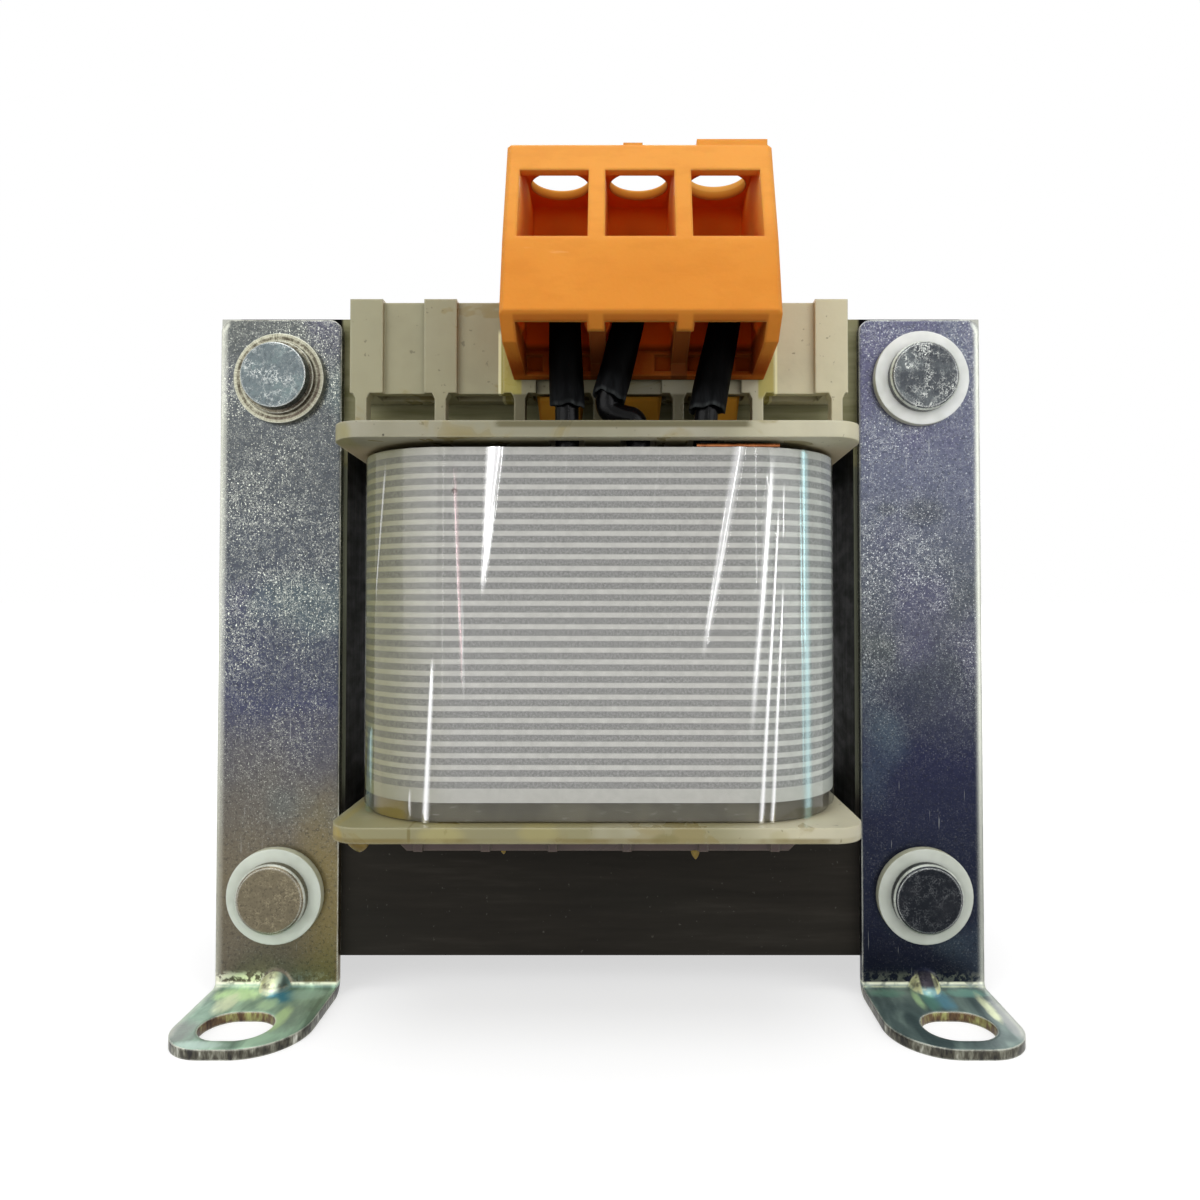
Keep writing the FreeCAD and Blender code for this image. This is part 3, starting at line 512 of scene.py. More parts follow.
# Varnish marks on the flange rims: X as seen from the nearer terminal side, Z,
# reach along X and Z, strength, colour.
varnish_marks = (
    (-17.6, 20.9, 0.22, 1.2, 0.75, (0.16, 0.13, 0.035)),
    (-14.6, 20.8, 2.8, 1.1, 0.5, (0.42, 0.37, 0.14)),
    (-24.7, 20.4, 1.0, 1.4, 0.85, (0.34, 0.25, 0.04)),
    (-5.4, 21.0, 2.4, 1.1, 0.45, (0.38, 0.33, 0.12)),
    (6.4, 20.4, 1.6, 0.7, 0.6, (0.2, 0.17, 0.06)),
    (17.2, 20.6, 1.2, 0.9, 0.4, (0.36, 0.32, 0.15)),
    (-24.6, 58.7, 1.6, 1.6, 0.7, (0.3, 0.27, 0.1)),
    (-20.2, 58.5, 0.14, 0.16, 0.9, (0.04, 0.03, 0.015)),
    (-12.5, 58.2, 3.0, 0.7, 0.35, (0.24, 0.2, 0.09)),
    (7.8, 58.4, 1.8, 0.9, 0.35, (0.27, 0.22, 0.09)),
)


def bobbin_material():
    """Beige moulding with amber varnish in patches and along edges, and painted amber shade
    gathered in corners.
    """
    s = Shader("beige_moulding")
    height = s.axis("Z")
    side = s.facing_x()
    cloud = s.noise(110, 4, 0.6)
    colour = s.mix(s.span(height, 0.02, 0.058), (0.27, 0.25, 0.13), (0.285, 0.27, 0.185))
    colour = s.mix(s.span(height, 0.06, 0.064), colour, (0.335, 0.317, 0.198))
    # Towards the right the moulding is painted much lighter: painted light.
    colour = s.mix(s.span(side, 0.009, 0.0195, 0.0, 0.8), colour, (0.66, 0.62, 0.43))
    colour = s.mix(s.span(cloud, 0.36, 0.64, 0.25, 0.0), colour, (0.21, 0.19, 0.115))
    pale = s.span(s.noise(45, 3, 0.6, (1.0, 1.0, 0.4), 0.4), 0.5, 0.66)
    colour = s.paint(colour, (0.5, 0.475, 0.39), pale, 0.35)
    pits = s.span(s.noise(1300, 2), 0.69, 0.74)
    colour = s.paint(colour, (0.08, 0.065, 0.03), pits, 0.5)
    varnish = s.span(s.noise(120, 3, 0.6, (0.8, 1.0, 1.3), 1.2), 0.57, 0.66)
    colour = s.paint(colour, (0.28, 0.215, 0.06), varnish, 0.5)
    # Yellow bands on the carrier ribs beside the orange block: partly amber varnish, partly the
    # block's orange glow painted as light.
    glow_and_varnish = s.most(s.band(side, -0.0102, -0.0082, 0.0003), s.band(side, 0.0167, 0.0183, 0.0003))
    glow_and_varnish = s.times(glow_and_varnish, s.band(height, 0.0642, 0.0695, 0.0008))
    colour = s.paint(colour, (0.42, 0.36, 0.07), glow_and_varnish, 0.9)
    # Thin pale lines along the ribs' edges there: painted highlights.
    lines = s.most(s.band(side, -0.0105, -0.0103, 0.0001), s.band(side, 0.0184, 0.0186, 0.0001))
    lines = s.times(lines, s.band(height, 0.0642, 0.0705, 0.0008))
    colour = s.mix(lines, colour, (0.85, 0.82, 0.52))
    for x, z, reach_x, reach_z, strength, hue in varnish_marks:
        along = s.over(s.minus(side, x * mm), reach_x * mm)
        up = s.over(s.minus(height, z * mm), reach_z * mm)
        away = s.plus(s.squares(along, up), s.times(cloud, 0.7))
        colour = s.mix(s.span(away, 0.5, 1.3, strength, 0.0), colour, hue)
    brim = s.most(s.band(height, low_flange - 0.0001, low_flange + 0.00035, 0.0003),
                  s.band(height, high_flange - 0.0001, high_flange + 0.0002, 0.0003))
    colour = s.paint(colour, (0.17, 0.125, 0.03), brim, s.span(cloud, 0.4, 0.6, 0.2, 0.75))
    # The top flange's underside is painted lighter: painted light.
    under = s.times(s.span(s.normal_axis("Z"), -0.8, -0.5, 0.8, 0.0),
                    s.band(height, high_flange - 0.0008, high_flange + 0.0004, 0.0002))
    colour = s.mix(under, colour, (0.5, 0.41, 0.27))
    # The posts between the leads are painted dark brown: painted shade.
    posts = s.band(height, 0.0594, 0.0641, 0.0003)
    colour = s.paint(colour, (0.13, 0.115, 0.055), posts, s.band(side, -0.009, 0.014, 0.001))
    # Painted amber shade in corners and hollows.
    shade = s.openness(0.0035)
    colour = s.mix(s.span(shade, 0.25, 0.8, 0.6, 0.0), colour, (0.14, 0.105, 0.035))
    # Below the low flange the ledge is painted dark brown: painted shade under the flange.
    ledge = s.fade(height, low_flange - 0.00015, low_flange - 0.00005)
    ledge_shade = s.ramp(cloud, (0.35, (0.055, 0.034, 0.03)), (0.65, (0.09, 0.058, 0.05)))
    colour = s.mix(ledge, colour, ledge_shade)
    # Pale edges: a painted highlight, weaker on the ledge.
    rim = s.edge(0.0004, 0.04, 0.3)
    rim = s.times(rim, s.span(ledge, 0.0, 1.0, 0.4, 0.12))
    colour = s.mix(rim, colour, (0.62, 0.595, 0.43))
    relief = s.bump(s.noise(900, 3), 0.00003, s.soft_edges(0.00025))
    gloss = s.mix(varnish, (0.42, 0.42, 0.42), (0.12, 0.12, 0.12))
    s.set(Base_Color=colour, Normal=relief, Roughness=gloss, Specular_IOR_Level=0.4,
          Subsurface_Weight=0.1, Subsurface_Radius=(0.9, 0.7, 0.4), Subsurface_Scale=0.001)
    return s.material


# The block's pole pitch, how far out its driver holes are, its low cells and
# its roof.
pole_pitch = 8.25 * mm
driver_out = 22.5 * mm
cell_low = 66.0 * mm
cell_top = 75.0 * mm
roof_under = 86.4 * mm


def orange_material():
    """Satin orange moulding that glows in thin walls, with painted light on its upper part and
    painted red shade in its depths.
    """
    s = Shader("orange_moulding")
    cloud = s.noise(60, 3)
    height = s.axis("Z")
    # The upper part is painted lighter than the lower: painted light from above.
    low = s.ramp(cloud, (0.3, (0.66, 0.232, 0.026)), (0.7, (0.72, 0.266, 0.034)))
    high = s.ramp(cloud, (0.3, (0.74, 0.295, 0.042)), (0.7, (0.8, 0.335, 0.055)))
    colour = s.mix(s.span(height, 0.072, 0.082), low, high)
    mottle = s.noise(420, 4, 0.65, (0.5, 1.0, 1.2))
    colour = s.mix(s.span(mottle, 0.36, 0.56, 0.14, 0.0), colour, (0.5, 0.15, 0.01))
    # Cavities and the low cells are painted deep red: painted shade.
    light = s.openness(0.008)
    cells = s.band(height, cell_low, cell_top - 0.0002, 0.0004)
    deep = s.most(s.fade(light, 0.2, 0.6), s.times(s.fade(light, 0.5, 0.86), cells))
    depth = s.mix(s.span(height, 0.077, 0.083), (0.52, 0.034, 0.0006), (0.86, 0.13, 0.003))
    cell = s.mix(s.span(height, 0.0687, 0.0694), (0.3, 0.045, 0.002), (0.85, 0.1, 0.003))
    depth = s.mix(s.span(height, cell_top - 0.0005, cell_top + 0.0005), cell, depth)
    colour = s.mix(deep, colour, depth)
    colour = s.mix(s.span(height, 0.0645, 0.0655), (0.42, 0.19, 0.018), colour)
    # Walls of the driver holes through the roof, painted pale at the top and deep red below:
    # painted light and shade.
    across = s.minus(s.math("FRACT", s.over(s.axis("X"), pole_pitch)), 0.5)
    across = s.times(across, pole_pitch)
    outward = s.minus(s.size(s.axis("Y")), driver_out)
    squared = s.squares(across, outward)
    in_hole = s.times(s.fade(squared, 0.0000096, 0.00001),
                      s.span(height, roof_under - 0.0001, roof_under + 0.0001))
    wall = s.ramp(s.span(height, roof_under, roof_under + 0.0012), (0.0, (0.36, 0.07, 0.004)),
                  (0.4, (0.5, 0.17, 0.017)), (0.85, (0.6, 0.25, 0.034)), (1.0, (0.8, 0.42, 0.09)))
    colour = s.mix(in_hole, colour, wall)
    # The lip's underside is painted dark red: painted shade.
    lip = s.times(s.band(height, 0.0668, 0.0688, 0.0003),
                  s.span(s.size(across), 0.0033, 0.0036, 0.7, 0.2))
    lip = s.times(lip, s.fade(s.normal_axis("Z"), -0.5, -0.2))
    colour = s.mix(lip, colour, (0.36, 0.09, 0.008))
    # The posts between the cells are painted dark: painted shade.
    from_block = s.apart(s.facing_x(), 0.5 * pole_pitch)
    between = s.times(s.span(s.size(across), 0.0032, 0.0034), s.fade(from_block, 0.0095, 0.01))
    between = s.times(between, s.band(height, 0.0652, 0.0692, 0.0006))
    between = s.times(between, s.fade(s.size(s.axis("Y")), 0.0328, 0.0331))
    colour = s.paint(colour, (0.2, 0.05, 0.01), between, 0.9)
    scuffs = s.span(s.noise(500, 3, 0.6, s.stretched((0.3, 1.0, 2.0), (0.0, 0.5, 0.0))), 0.68, 0.76)
    colour = s.paint(colour, (0.93, 0.55, 0.25), scuffs, 0.2)
    # Edges are painted lighter orange: a painted highlight, weaker in the depths.
    rim = s.edge(0.0003, 0.04, 0.3)
    colour = s.paint(colour, (0.95, 0.46, 0.13), rim, s.minus(0.35, s.times(deep, 0.25)))
    relief = s.bump(s.noise(2200, 3, 0.6), 0.000018, s.soft_edges(0.00045))
    matt = s.most(s.span(light, 0.3, 0.85, 0.95, 0.45), s.times(in_hole, 0.9))
    s.set(Base_Color=colour, Roughness=matt, Normal=relief, Specular_IOR_Level=0.1,
          Subsurface_Weight=0.2, Subsurface_Radius=(1.0, 0.2, 0.04), Subsurface_Scale=0.001)
    return s.material


# Printed stripes: their pitch and the middle of the top and the lowest one.
stripe_pitch = 1.118 * mm
stripe_top = 56.5 * mm
stripe_low = 25.2 * mm


def wrap_material():
    """Light film with printed grey stripes round the coil, and a painted cyan reflection on its
    right side.
    """
    s = Shader("striped_film")
    height = s.axis("Z")
    side = s.facing_x()
    wobble = s.times(s.minus(s.noise(12, 1), 0.5), 0.0003)
    height = s.plus(height, wobble)
    steps = s.over(s.minus(stripe_top, height), stripe_pitch)
    phase = s.math("FRACT", s.plus(steps, 0.5))
    dark = s.fade(s.apart(phase, 0.5), 0.24, 0.34)
    inside = s.times(s.span(height, stripe_low - 0.0006, stripe_low - 0.0005),
                     s.fade(height, stripe_top + 0.0005, stripe_top + 0.0006))
    dark = s.times(dark, inside)
    grey = s.ramp(s.noise(4200, 2, 0.7), (0.38, (0.19, 0.19, 0.183)), (0.5, (0.24, 0.24, 0.23)),
                  (0.64, (0.3, 0.3, 0.288)))
    light = s.ramp(s.noise(900, 3, 0.65), (0.3, (0.46, 0.456, 0.424)), (0.7, (0.565, 0.56, 0.523)))
    under = s.span(height, stripe_low - 0.0006, stripe_low, 0.35, 0.0)
    light = s.mix(under, light, (0.32, 0.32, 0.28))
    colour = s.mix(dark, light, grey)
    olive = s.fade(side, -0.0245, -0.0125)
    colour = s.mix(olive, colour, (0.42, 0.41, 0.16), "MULTIPLY")
    stains = s.span(s.noise(160, 3, 0.6, (1.0, 1.0, 0.3)), 0.56, 0.72)
    colour = s.paint(colour, (0.42, 0.36, 0.22), stains, s.times(olive, 0.25))
    # The right side is tinted cyan: a painted reflection.
    cyan = s.span(side, 0.0115, 0.0225)
    colour = s.mix(s.times(cyan, 0.8), colour, (0.92, 1.0, 0.97), "MULTIPLY")
    speck = s.squares(s.plus(side, 0.0137), s.minus(s.axis("Z"), 0.0534))
    colour = s.mix(s.span(speck, 0.00000002, 0.00000012, 0.85, 0.0), colour, (0.05, 0.03, 0.02))
    s.set(Base_Color=colour, Roughness=0.5, Specular_IOR_Level=0.3)
    return s.material


def paper_material():
    """Varnished insulation that shows under the clear film below the stripes."""
    s = Shader("varnished_paper")
    cloud = s.noise(260, 4, 0.65)
    colour = s.ramp(cloud, (0.3, (0.052, 0.047, 0.028)), (0.7, (0.112, 0.103, 0.066)))
    fibres = s.span(s.noise(1700, 2, 0.6, (0.5, 0.5, 1.6)), 0.6, 0.74)
    colour = s.paint(colour, (0.3, 0.3, 0.26), fibres, 0.3)
    amber = s.fade(s.size(s.plus(s.axis("X"), 0.0203)), 0.0012, 0.0026)
    colour = s.paint(colour, (0.2, 0.15, 0.02), amber, 0.85)
    s.set(Base_Color=colour, Roughness=0.35, Specular_IOR_Level=0.3)
    return s.material


def clear_film_material():
    """Clear gloss: a mirror layer that covers more at a slant, and more on its creases, where it
    carries painted highlights.
    """
    s = Shader("clear_gloss")
    slant = s.node("LayerWeight", {"Blend": 0.5}).outputs["Facing"]
    cover = s.times(s.math("POWER", slant, 4.0), 0.55)
    cover = s.plus(s.plus(cover, 0.035), s.attribute("crease", "Alpha"))
    s.set(Base_Color=s.attribute("crease", "Color"), Metallic=1.0, Roughness=0.09,
          Alpha=s.math("MINIMUM", cover, 1.0))
    return s.material


def metal_material(name, low, high, roughness):
    """Plain metal between two tones."""
    s = Shader(name)
    cloud = s.noise(700, 3, 0.6)
    colour = s.ramp(cloud, (0.3, low), (0.7, high))
    relief = s.bump(s.noise(2500, 2), 0.00002, s.soft_edges(0.0001))
    s.set(Base_Color=colour, Metallic=1.0, Normal=relief,
          Roughness=s.span(cloud, 0.3, 0.7, roughness, roughness + 0.15))
    return s.material


def sleeve_material():
    """Black shrunk sleeve, with a painted grey sheen near its cut lower end and a paler painted
    highlight at its rim.
    """
    s = Shader("black_sleeve")
    from_end = s.attribute("from_end")
    fibres = s.noise(1500, 3, 0.6, (1.0, 1.0, 0.25))
    # A painted grey sheen near the cut end, and a paler painted highlight at the rim.
    end_sheen = s.times(s.fade(from_end, 0.0, 2.8), s.span(fibres, 0.35, 0.65, 0.3, 1.0))
    colour = s.mix(end_sheen, (0.0004, 0.0004, 0.0004), (0.012, 0.0128, 0.014))
    rim = s.fade(from_end, 0.0, 0.5)
    colour = s.paint(colour, (0.055, 0.06, 0.06), rim, s.span(fibres, 0.35, 0.65, 0.2, 0.9))
    s.set(Base_Color=colour, Roughness=s.span(fibres, 0.3, 0.7, 0.4, 0.55), Specular_IOR_Level=0.02,
          Normal=s.bump(fibres, 0.00004))
    return s.material


def lead_material():
    s = Shader("black_lead")
    cloud = s.noise(900, 3)
    colour = s.ramp(cloud, (0.35, (0.001, 0.001, 0.001)), (0.8, (0.006, 0.006, 0.007)))
    s.set(Base_Color=colour, Roughness=0.2, Specular_IOR_Level=0.12, Normal=s.bump(cloud, 0.00006))
    return s.material


def plain_insulator():
    s = Shader("insulating_sleeve")
    colour = s.ramp(s.noise(500, 2), (0.3, (0.55, 0.52, 0.42)), (0.7, (0.66, 0.63, 0.52)))
    s.set(Base_Color=colour, Roughness=0.5)
    return s.material


def resin_material():
    s = Shader("amber_resin")
    colour = s.ramp(s.noise(800, 2), (0.35, (0.14, 0.09, 0.008)), (0.7, (0.3, 0.2, 0.025)))
    s.set(Base_Color=colour, Roughness=0.12, Specular_IOR_Level=0.3)
    return s.material


looks = {
    "core_steel": core_material(),
    "bobbin_plastic": bobbin_material(),
    "enamelled_copper": metal_material("copper_enamel", (0.2, 0.06, 0.02), (0.42, 0.16, 0.06), 0.2),
    "insulation_paper": paper_material(),
    "striped_wrap": wrap_material(),
    "zinc_plate": zinc_material(),
    "rivet_steel": rivet_material(),
    "washer_steel": washer_material(),
    "insulating_tube": plain_insulator(),
    "nylon": nylon_material(),
    "terminal_plastic": orange_material(),
    "clamp_brass": metal_material("nickelled_brass", (0.42, 0.36, 0.24), (0.62, 0.56, 0.42), 0.25),
    "screw_steel": metal_material("screw_plating", (0.36, 0.37, 0.39), (0.6, 0.61, 0.62), 0.25),
    "tinned_tag": metal_material("tinned_strip", (0.5, 0.5, 0.48), (0.7, 0.7, 0.67), 0.2),
    "lead_wire": lead_material(),
}
look_of = {item["node"]: item["material_slot"] for item in frame["record"]["subparts"]}
look_of["secondary_winding"] = "insulation_paper"
for name, piece in nodes.items():
    if look_of[name] in looks:
        for slot in piece.material_slots:
            slot.material = looks[look_of[name]]


# Pieces made here
def add_object(name, data):
    made = bpy.data.objects.new(name, data)
    bpy.context.scene.collection.objects.link(made)
    return made


def add_piece(name, points, faces, material):
    """A smooth mesh from points in millimetres, riding with the part."""
    mesh = bpy.data.meshes.new(name)
    mesh.from_pydata([[value * mm for value in point] for point in points], [], faces)
    mesh.polygons.foreach_set("use_smooth", [True] * len(mesh.polygons))
    mesh.materials.append(material)
    piece = add_object(name, mesh)
    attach(piece, "root")
    return piece


def tube_faces(rings, around, first=0):
    """Quads between rings of points that follow each other."""
    return [(ring + k, ring + (k + 1) % around, ring + around + (k + 1) % around, ring + around + k)
            for ring in range(first, first + (rings - 1) * around, around) for k in range(around)]


def turned(point, half_turn):
    """The same place on the other side of the part."""
    return (-point[0], -point[1], point[2]) if half_turn else tuple(point)


def steady(value):
    """Eases from 0 to 1."""
    value = min(max(value, 0.0), 1.0)
    return value * value * (3.0 - 2.0 * value)


# Clear film: the coil's outline, with fine pitch where the creases run.
(_, _, film_low), (film_half_x, film_half_y, film_top) = corners("clear_film")
film_corner = 10.4
film_inset = 0.08
film_wave = 0.012
crease_cover = 0.85
white = (1.0, 1.0, 1.0)
cyan = (0.66, 0.97, 1.0)
pink = (1.0, 0.78, 0.8)
# Each crease: X and Z at its top, X and Z at its low end, half widths at both ends, height, how
# much it whitens the film with a painted highlight, and the highlight's tint.
creases = [
    (-9.7, 57.6, -11.0, 43.0, 1.25, 0.26, 0.22, 1.0, white),
    (13.7, 57.6, 10.0, 36.6, 0.9, 0.36, 0.12, 0.66, white),
    (-15.7, 37.6, -16.4, 21.6, 0.24, 0.52, 0.12, 1.0, white),
    (16.9, 57.4, 14.7, 28.6, 0.62, 0.4, 0.1, 0.62, white),
    (17.6, 52.6, 15.7, 21.6, 0.18, 0.36, 0.12, 0.9, white),
    (18.0, 44.8, 16.8, 21.6, 0.14, 0.34, 0.12, 0.9, white),
    (18.1, 54.0, 18.0, 48.6, 0.12, 0.12, 0.08, 0.5, white),
    (18.2, 37.5, 18.1, 31.5, 0.1, 0.1, 0.06, 0.4, white),
    (20.4, 57.6, 20.6, 21.6, 0.55, 0.65, 0.06, 0.4, cyan),
    (19.9, 57.0, 20.1, 22.0, 0.12, 0.14, 0.04, 0.45, cyan),
    (-20.9, 56.6, -22.3, 42.0, 0.18, 0.16, 0.06, 0.6, white),
    (-22.9, 31.0, -23.4, 21.6, 0.5, 1.0, 0.08, 0.5, cyan),
    (-13.7, 56.0, -12.8, 34.0, 0.26, 0.2, 0.05, 0.45, pink),
    (-12.95, 45.0, -12.7, 33.0, 0.14, 0.12, 0.04, 0.4, white),
    (-18.0, 24.4, -18.0, 22.0, 0.14, 0.2, 0.08, 0.7, white),
    (6.1, 57.6, 4.9, 47.0, 0.16, 0.12, 0.03, 0.07, white),
    (-2.9, 57.6, -3.3, 49.5, 0.14, 0.1, 0.03, 0.06, white),
]


def film_outline():
    """Points round the coil with their outward directions, half by half."""
    straight_x = film_half_x - film_corner
    straight_y = film_half_y - film_corner
    fine = 0.12
    coarse = 0.8
    outline = []

    def run(start, end, normal, pitch):
        count = round(math.dist(start, end) / pitch)
        for k in range(count):
            share = k / count
            outline.append((start[0] + (end[0] - start[0]) * share,
                            start[1] + (end[1] - start[1]) * share, normal))

    def turn(centre, first_angle):
        count = round(film_corner * math.pi / 2.0 / fine)
        for k in range(count):
            angle = first_angle + math.pi / 2.0 * k / count
            normal = (math.cos(angle), math.sin(angle))
            outline.append((centre[0] + film_corner * normal[0],
                            centre[1] + film_corner * normal[1], normal))

    run((-straight_x, -film_half_y), (straight_x, -film_half_y), (0.0, -1.0), fine)
    turn((straight_x, -straight_y), -math.pi / 2.0)
    run((film_half_x, -straight_y), (film_half_x, straight_y), (1.0, 0.0), coarse)
    turn((straight_x, straight_y), 0.0)
    return outline + [(-x, -y, (-across, -out)) for x, y, (across, out) in outline]


def crease_at(x, z):
    """Lift, and whitening with painted highlight, of the front film at a place, with its tint."""
    lift, whitening_and_highlight, tint = 0.0, 0.0, white
    for x_top, z_top, x_low, z_low, wide_top, wide_low, rise, strength, colour in creases:
        share = (z_top - z) / (z_top - z_low)
        if share < -0.02 or share > 1.02:
            continue
        half = wide_top + (wide_low - wide_top) * share
        away = abs(x - (x_top + (x_low - x_top) * share)) / half
        if away >= 1.0:
            continue
        faded = 1.0 if z_low <= film_low else steady((1.0 - share) / 0.25)
        if z_top < film_top:
            faded *= steady(share / 0.2)
        shape = (0.5 + 0.5 * math.cos(math.pi * away)) ** 1.3 * faded
        lift = max(lift, rise * shape)
        if strength * shape > whitening_and_highlight:
            whitening_and_highlight, tint = strength * shape, colour
    return lift, whitening_and_highlight, tint


def creased_film():
    """The film as one ring of rows, with each front point lifted by its creases."""
    outline = film_outline()
    rows = 46
    points, colours = [], []
    waves = random.Random(7)
    phases = [waves.uniform(0.0, 6.28) for _ in range(2)]
    for row in range(rows):
        z = film_low + (film_top - film_low) * row / (rows - 1)
        for x, y, normal in outline:
            lift, whitening_and_highlight, tint = 0.0, 0.0, white
            if abs(y) > film_half_y - film_corner:
                lift, whitening_and_highlight, tint = crease_at(-x if y > 0.0 else x, z)
            slow = (film_wave * math.sin(0.21 * x + phases[0] + 0.02 * z)
                    * math.sin(0.34 * y + phases[1]))
            out = lift + slow - film_inset
            points.append((x + normal[0] * out, y + normal[1] * out, z))
            colours.extend((*tint, whitening_and_highlight * crease_cover))
    piece = add_piece("creased_film", points, tube_faces(rows, len(outline)),
                      clear_film_material())
    painted = piece.data.color_attributes.new("crease", "FLOAT_COLOR", "POINT")
    painted.data.foreach_set("color", colours)
    piece.visible_shadow = False
    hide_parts("clear_film")


# Sleeves: where each starts at its solder tag, where its cut end is, how its
# rim is turned, and its radius there. Each side of the part has the same three.
sleeve_runs = [
    ((-3.33, -27.66, 72.4), (-3.03, -28.14, 62.0), 0.4, 1.72),
    ((3.57, -27.74, 72.4), (1.14, -28.15, 62.7), 2.6, 1.66),
    ((12.99, -27.74, 72.4), (10.73, -28.17, 61.5), 4.4, 1.8),
]
sleeve_around = 48
sleeve_along = 30
sleeve_radius = 1.52


def lead_sleeve(top, end, phase, end_radius, points, from_end, faces):
    """Rings of one sleeve: down the outside, over the rim, a little way back up."""
    start, finish = Vector(top), Vector(end)
    heading = (finish - start).normalized()
    across = heading.cross(Vector((0.0, 1.0, 0.0))).normalized()
    outward = heading.cross(across)
    length = (finish - start).length
    rings = [(k / sleeve_along, 0.0) for k in range(sleeve_along + 1)]
    rings += [(1.006, 0.1), (1.0, 0.2), (0.96, 0.24), (0.85, 0.26), (0.7, 0.28)]
    first = len(points)
    for share, inset in rings:
        for k in range(sleeve_around):
            angle = 2.0 * math.pi * k / sleeve_around
            wave = 0.3 * math.sin(angle + phase) + 0.13 * math.sin(3.0 * angle + 1.7 * phase)
            wave += 0.07 * math.sin(7.0 * angle + 3.1 * phase)
            along = share * length + wave * steady((share - 0.7) / 0.3)
            widening = steady(share * 0.9 + 0.1)
            radius = sleeve_radius + (end_radius - sleeve_radius) * widening - inset
            radius += 0.03 * math.sin(3.0 * angle + 9.0 * share + phase) * share
            radius += 0.05 * math.sin(5.0 * angle + 2.0 * phase) * steady((share - 0.8) / 0.2)
            place = start + heading * along
            place += across * (radius * math.cos(angle)) + outward * (radius * math.sin(angle))
            points.append(tuple(place))
            from_end.append(0.0 if inset else (1.0 - share) * length)
    faces.extend(tube_faces(len(rings), sleeve_around, first))


def lead_sleeves(side, half_turn):
    points, from_end, faces = [], [], []
    for run in sleeve_runs:
        lead_sleeve(*run, points, from_end, faces)
    placed = [turned(point, half_turn) for point in points]
    piece = add_piece(side + "_sleeves", placed, faces, looks["lead_sleeve"])
    piece.data.attributes.new("from_end", "FLOAT", "POINT").data.foreach_set("value", from_end)
    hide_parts(side + "_lead_sleeves")


# Leads: from inside each sleeve down through the flange, the middle one
# crossing to its hole just above the flange.
lead_radius = 1.18
lead_routes = [
    [(-3.33, -27.66, 72.3), (-3.1, -28.0, 65.0), (-3.0, -28.2, 61.0), (-3.0, -28.15, 57.7)],
    [(3.57, -27.74, 72.3), (1.5, -28.1, 64.5), (0.7, -28.2, 61.8), (2.2, -28.2, 60.9),
     (4.1, -28.2, 60.6), (4.0, -28.15, 57.7)],
    [(12.99, -27.74, 72.3), (11.0, -28.1, 63.2), (10.6, -28.2, 61.0), (10.6, -28.15, 57.7)],
]


def lead_wires(side, half_turn):
    curve = bpy.data.curves.new(side + "_leads", "CURVE")
    curve.dimensions = "3D"
    curve.bevel_depth = lead_radius * mm
    curve.bevel_resolution = 7
    curve.resolution_u = 14
    curve.use_fill_caps = True
    for route in lead_routes:
        line = curve.splines.new("NURBS")
        line.points.add(len(route) - 1)
        for point, place in zip(line.points, route):
            point.co = (*(value * mm for value in turned(place, half_turn)), 1.0)
        line.order_u = 3
        line.use_endpoint_u = True
    curve.materials.append(looks["lead_wire"])
    piece = add_object(side + "_leads", curve)
    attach(piece, "root")
    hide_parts(side + "_lead_wires")


# Resin: a drop under the low flange's corner and nubs on the ledge below it.
ledge_under = 18.25
ledge_out = 27.1


def resin_drop(name, at, half_x, half_y, depth, half_turn):
    """A hanging drop: its rings narrow downwards and lean a little."""
    rings, around = 12, 24
    points = []
    for row in range(rings):
        share = row / (rings - 1)
        size = math.cos(share * math.pi / 2.0) ** 0.7 + 0.001
        for k in range(around):
            angle = 2.0 * math.pi * k / around
            wobble = 1.0 + 0.08 * math.sin(2.0 * angle + 3.0 * share)
            points.append((at[0] + half_x * (size * wobble * math.cos(angle) + 0.15 * share),
                           at[1] + half_y * size * wobble * math.sin(angle),
                           at[2] - depth * share))
    add_piece(name, [turned(point, half_turn) for point in points], tube_faces(rings, around),
              looks["resin"])


looks["lead_sleeve"] = sleeve_material()
looks["resin"] = resin_material()
creased_film()
for side, half_turn in (("front", False), ("rear", True)):
    lead_sleeves(side, half_turn)
    lead_wires(side, half_turn)
    resin_drop(side + "_corner_drop", (-22.6, -30.4, low_flange / mm), 0.95, 0.7, 1.05, half_turn)
    resin_drop(side + "_ledge_nub", (9.6, -ledge_out, ledge_under), 0.42, 0.25, 0.95, half_turn)
    resin_drop(side + "_small_nub", (-9.3, -ledge_out, ledge_under), 0.25, 0.2, 0.45, half_turn)


# Floor, light and camera
def floor_and_backdrop():
    """Pale floor that keeps the shadow and grows white with distance into the background."""
    s = Shader("pale_floor")
    path = s.node("LightPath").outputs
    seen = s.most(path["Is Camera Ray"], s.most(path["Is Glossy Ray"], path["Is Transmission Ray"]))
    away = s.node("VectorMath", {0: s.place}, operation="LENGTH").outputs["Value"]
    glow = s.node("Emission", {"Strength": s.times(seen, s.span(away, 0.1, 0.6, 0.62, 1.0))})
    s.set(Base_Color=(0.45, 0.45, 0.45), Roughness=0.9, Specular_IOR_Level=0.0)
    both = s.node("AddShader", {0: s.surface.outputs[0], 1: glow.outputs[0]})
    s.feed(s.tree.nodes["Material Output"].inputs[0], both.outputs[0])
    half = 6.0
    sheet = bpy.data.meshes.new("floor")
    sheet.from_pydata([(-half, -half, 0), (half, -half, 0), (half, half, 0), (-half, half, 0)],
                      [], [(0, 1, 2, 3)])
    sheet.materials.append(s.material)
    floor = add_object("floor", sheet)


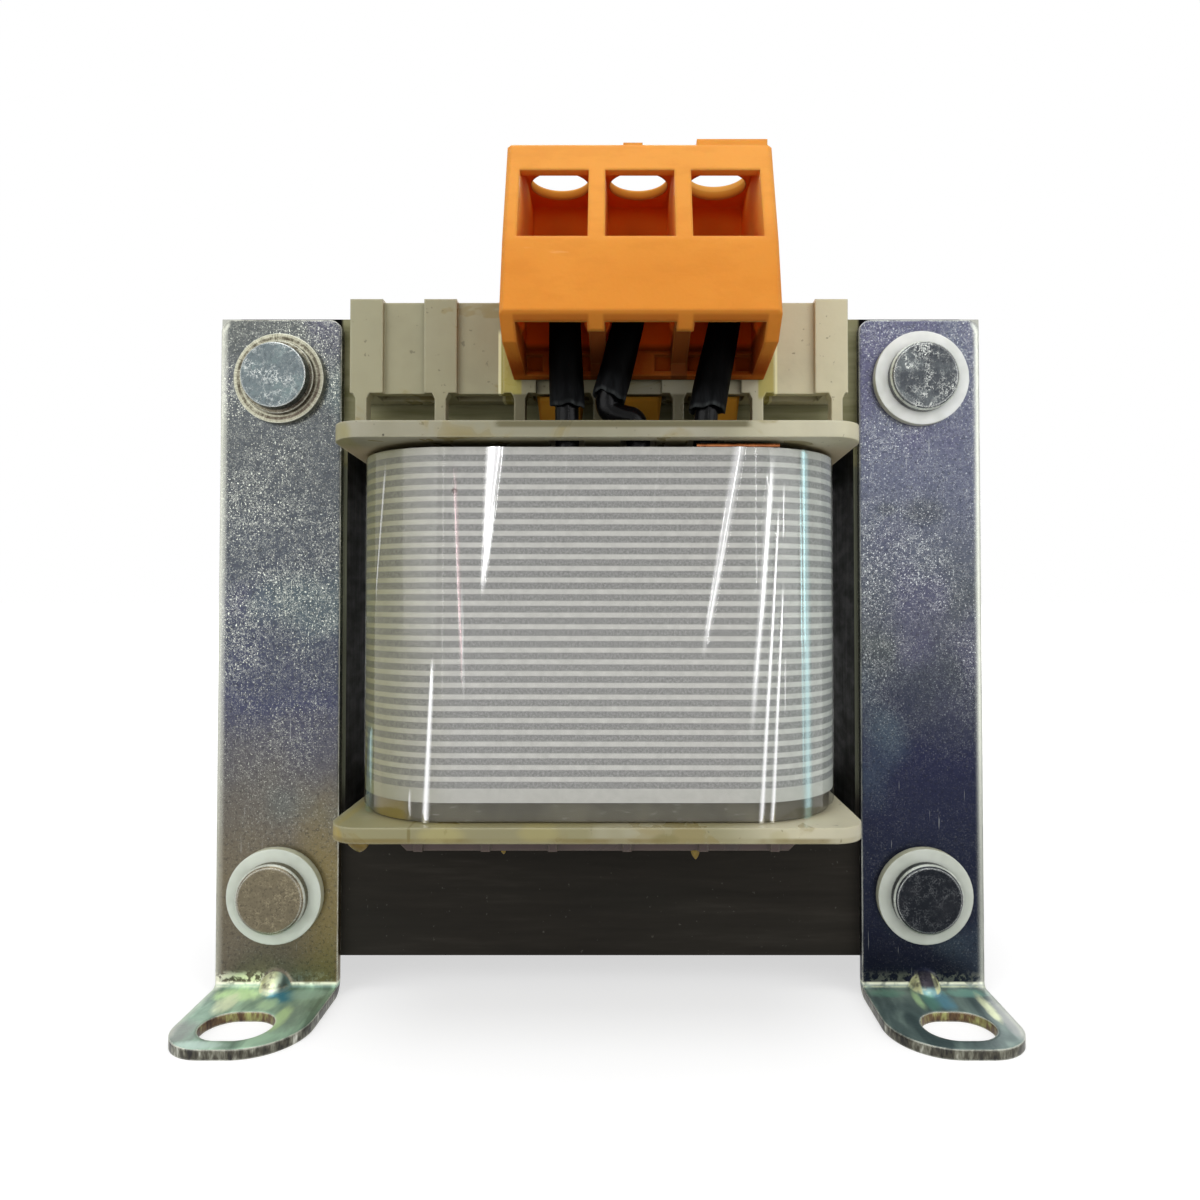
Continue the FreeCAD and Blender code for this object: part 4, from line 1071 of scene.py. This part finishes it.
def world_light():
    """Soft light all round, and white wherever the world itself is seen."""
    world = bpy.data.worlds.new("studio")
    bpy.context.scene.world = world
    world.use_nodes = True
    tree = world.node_tree
    tree.nodes.clear()
    path, first, second, level, sky, out = [
        tree.nodes.new("ShaderNode" + kind)
        for kind in ("LightPath", "Math", "Math", "MapRange", "Background", "OutputWorld")]
    first.operation = second.operation = "MAXIMUM"
    level.inputs["To Min"].default_value = 0.45
    level.inputs["To Max"].default_value = 1.0
    sky.inputs["Color"].default_value = (1.0, 1.0, 1.0, 1.0)
    for start, end in ((path.outputs["Is Camera Ray"], first.inputs[0]),
                       (path.outputs["Is Glossy Ray"], first.inputs[1]),
                       (first.outputs[0], second.inputs[0]),
                       (path.outputs["Is Transmission Ray"], second.inputs[1]),
                       (second.outputs[0], level.inputs["Value"]),
                       (level.outputs[0], sky.inputs["Strength"]),
                       (sky.outputs[0], out.inputs[0])):
        tree.links.new(start, end)


def studio_lamps():
    """Soft boxes and two thin strips, turned to the part's middle."""
    middle = Vector((0.0, 0.0, 0.045))
    for name, place, size, power in (
            ("overhead", (0.0, -0.15, 0.75), (0.7, 0.5), 2.8),
            ("left_front", (-0.5, -0.55, 0.3), (0.6, 0.7), 2.2),
            ("right_front", (0.55, -0.45, 0.25), (0.5, 0.6), 1.8),
            ("back", (0.0, 0.6, 0.5), (0.6, 0.4), 2.0),
            ("strip_left", (-0.085, -0.3, 0.09), (0.006, 0.22), 0.015),
            ("strip_right", (0.1, -0.3, 0.09), (0.006, 0.22), 0.05)):
        data = bpy.data.lights.new(name, "AREA")
        data.shape = "RECTANGLE"
        data.size, data.size_y = size
        data.energy = power
        made = add_object(name, data)
        made.location = place
        made.rotation_euler = (middle - made.location).to_track_quat("-Z", "Y").to_euler()


def photograph_camera():
    data = bpy.data.cameras.new("camera")
    data.sensor_width = 36.0
    data.lens = focal_pixels * 36.0 / picture
    data.shift_x = (picture / 2.0 - axis_pixel[0]) / picture
    data.shift_y = (axis_pixel[1] - picture / 2.0) / picture
    data.clip_start, data.clip_end = 0.005, 50.0
    made = add_object("camera", data)
    made.location = [value * mm for value in camera_place]
    made.rotation_euler = (math.radians(90.0 + camera_tilt), 0.0, 0.0)
    bpy.context.scene.camera = made


floor_and_backdrop()
world_light()
studio_lamps()
photograph_camera()
bpy.context.scene.view_settings.view_transform = "Standard"
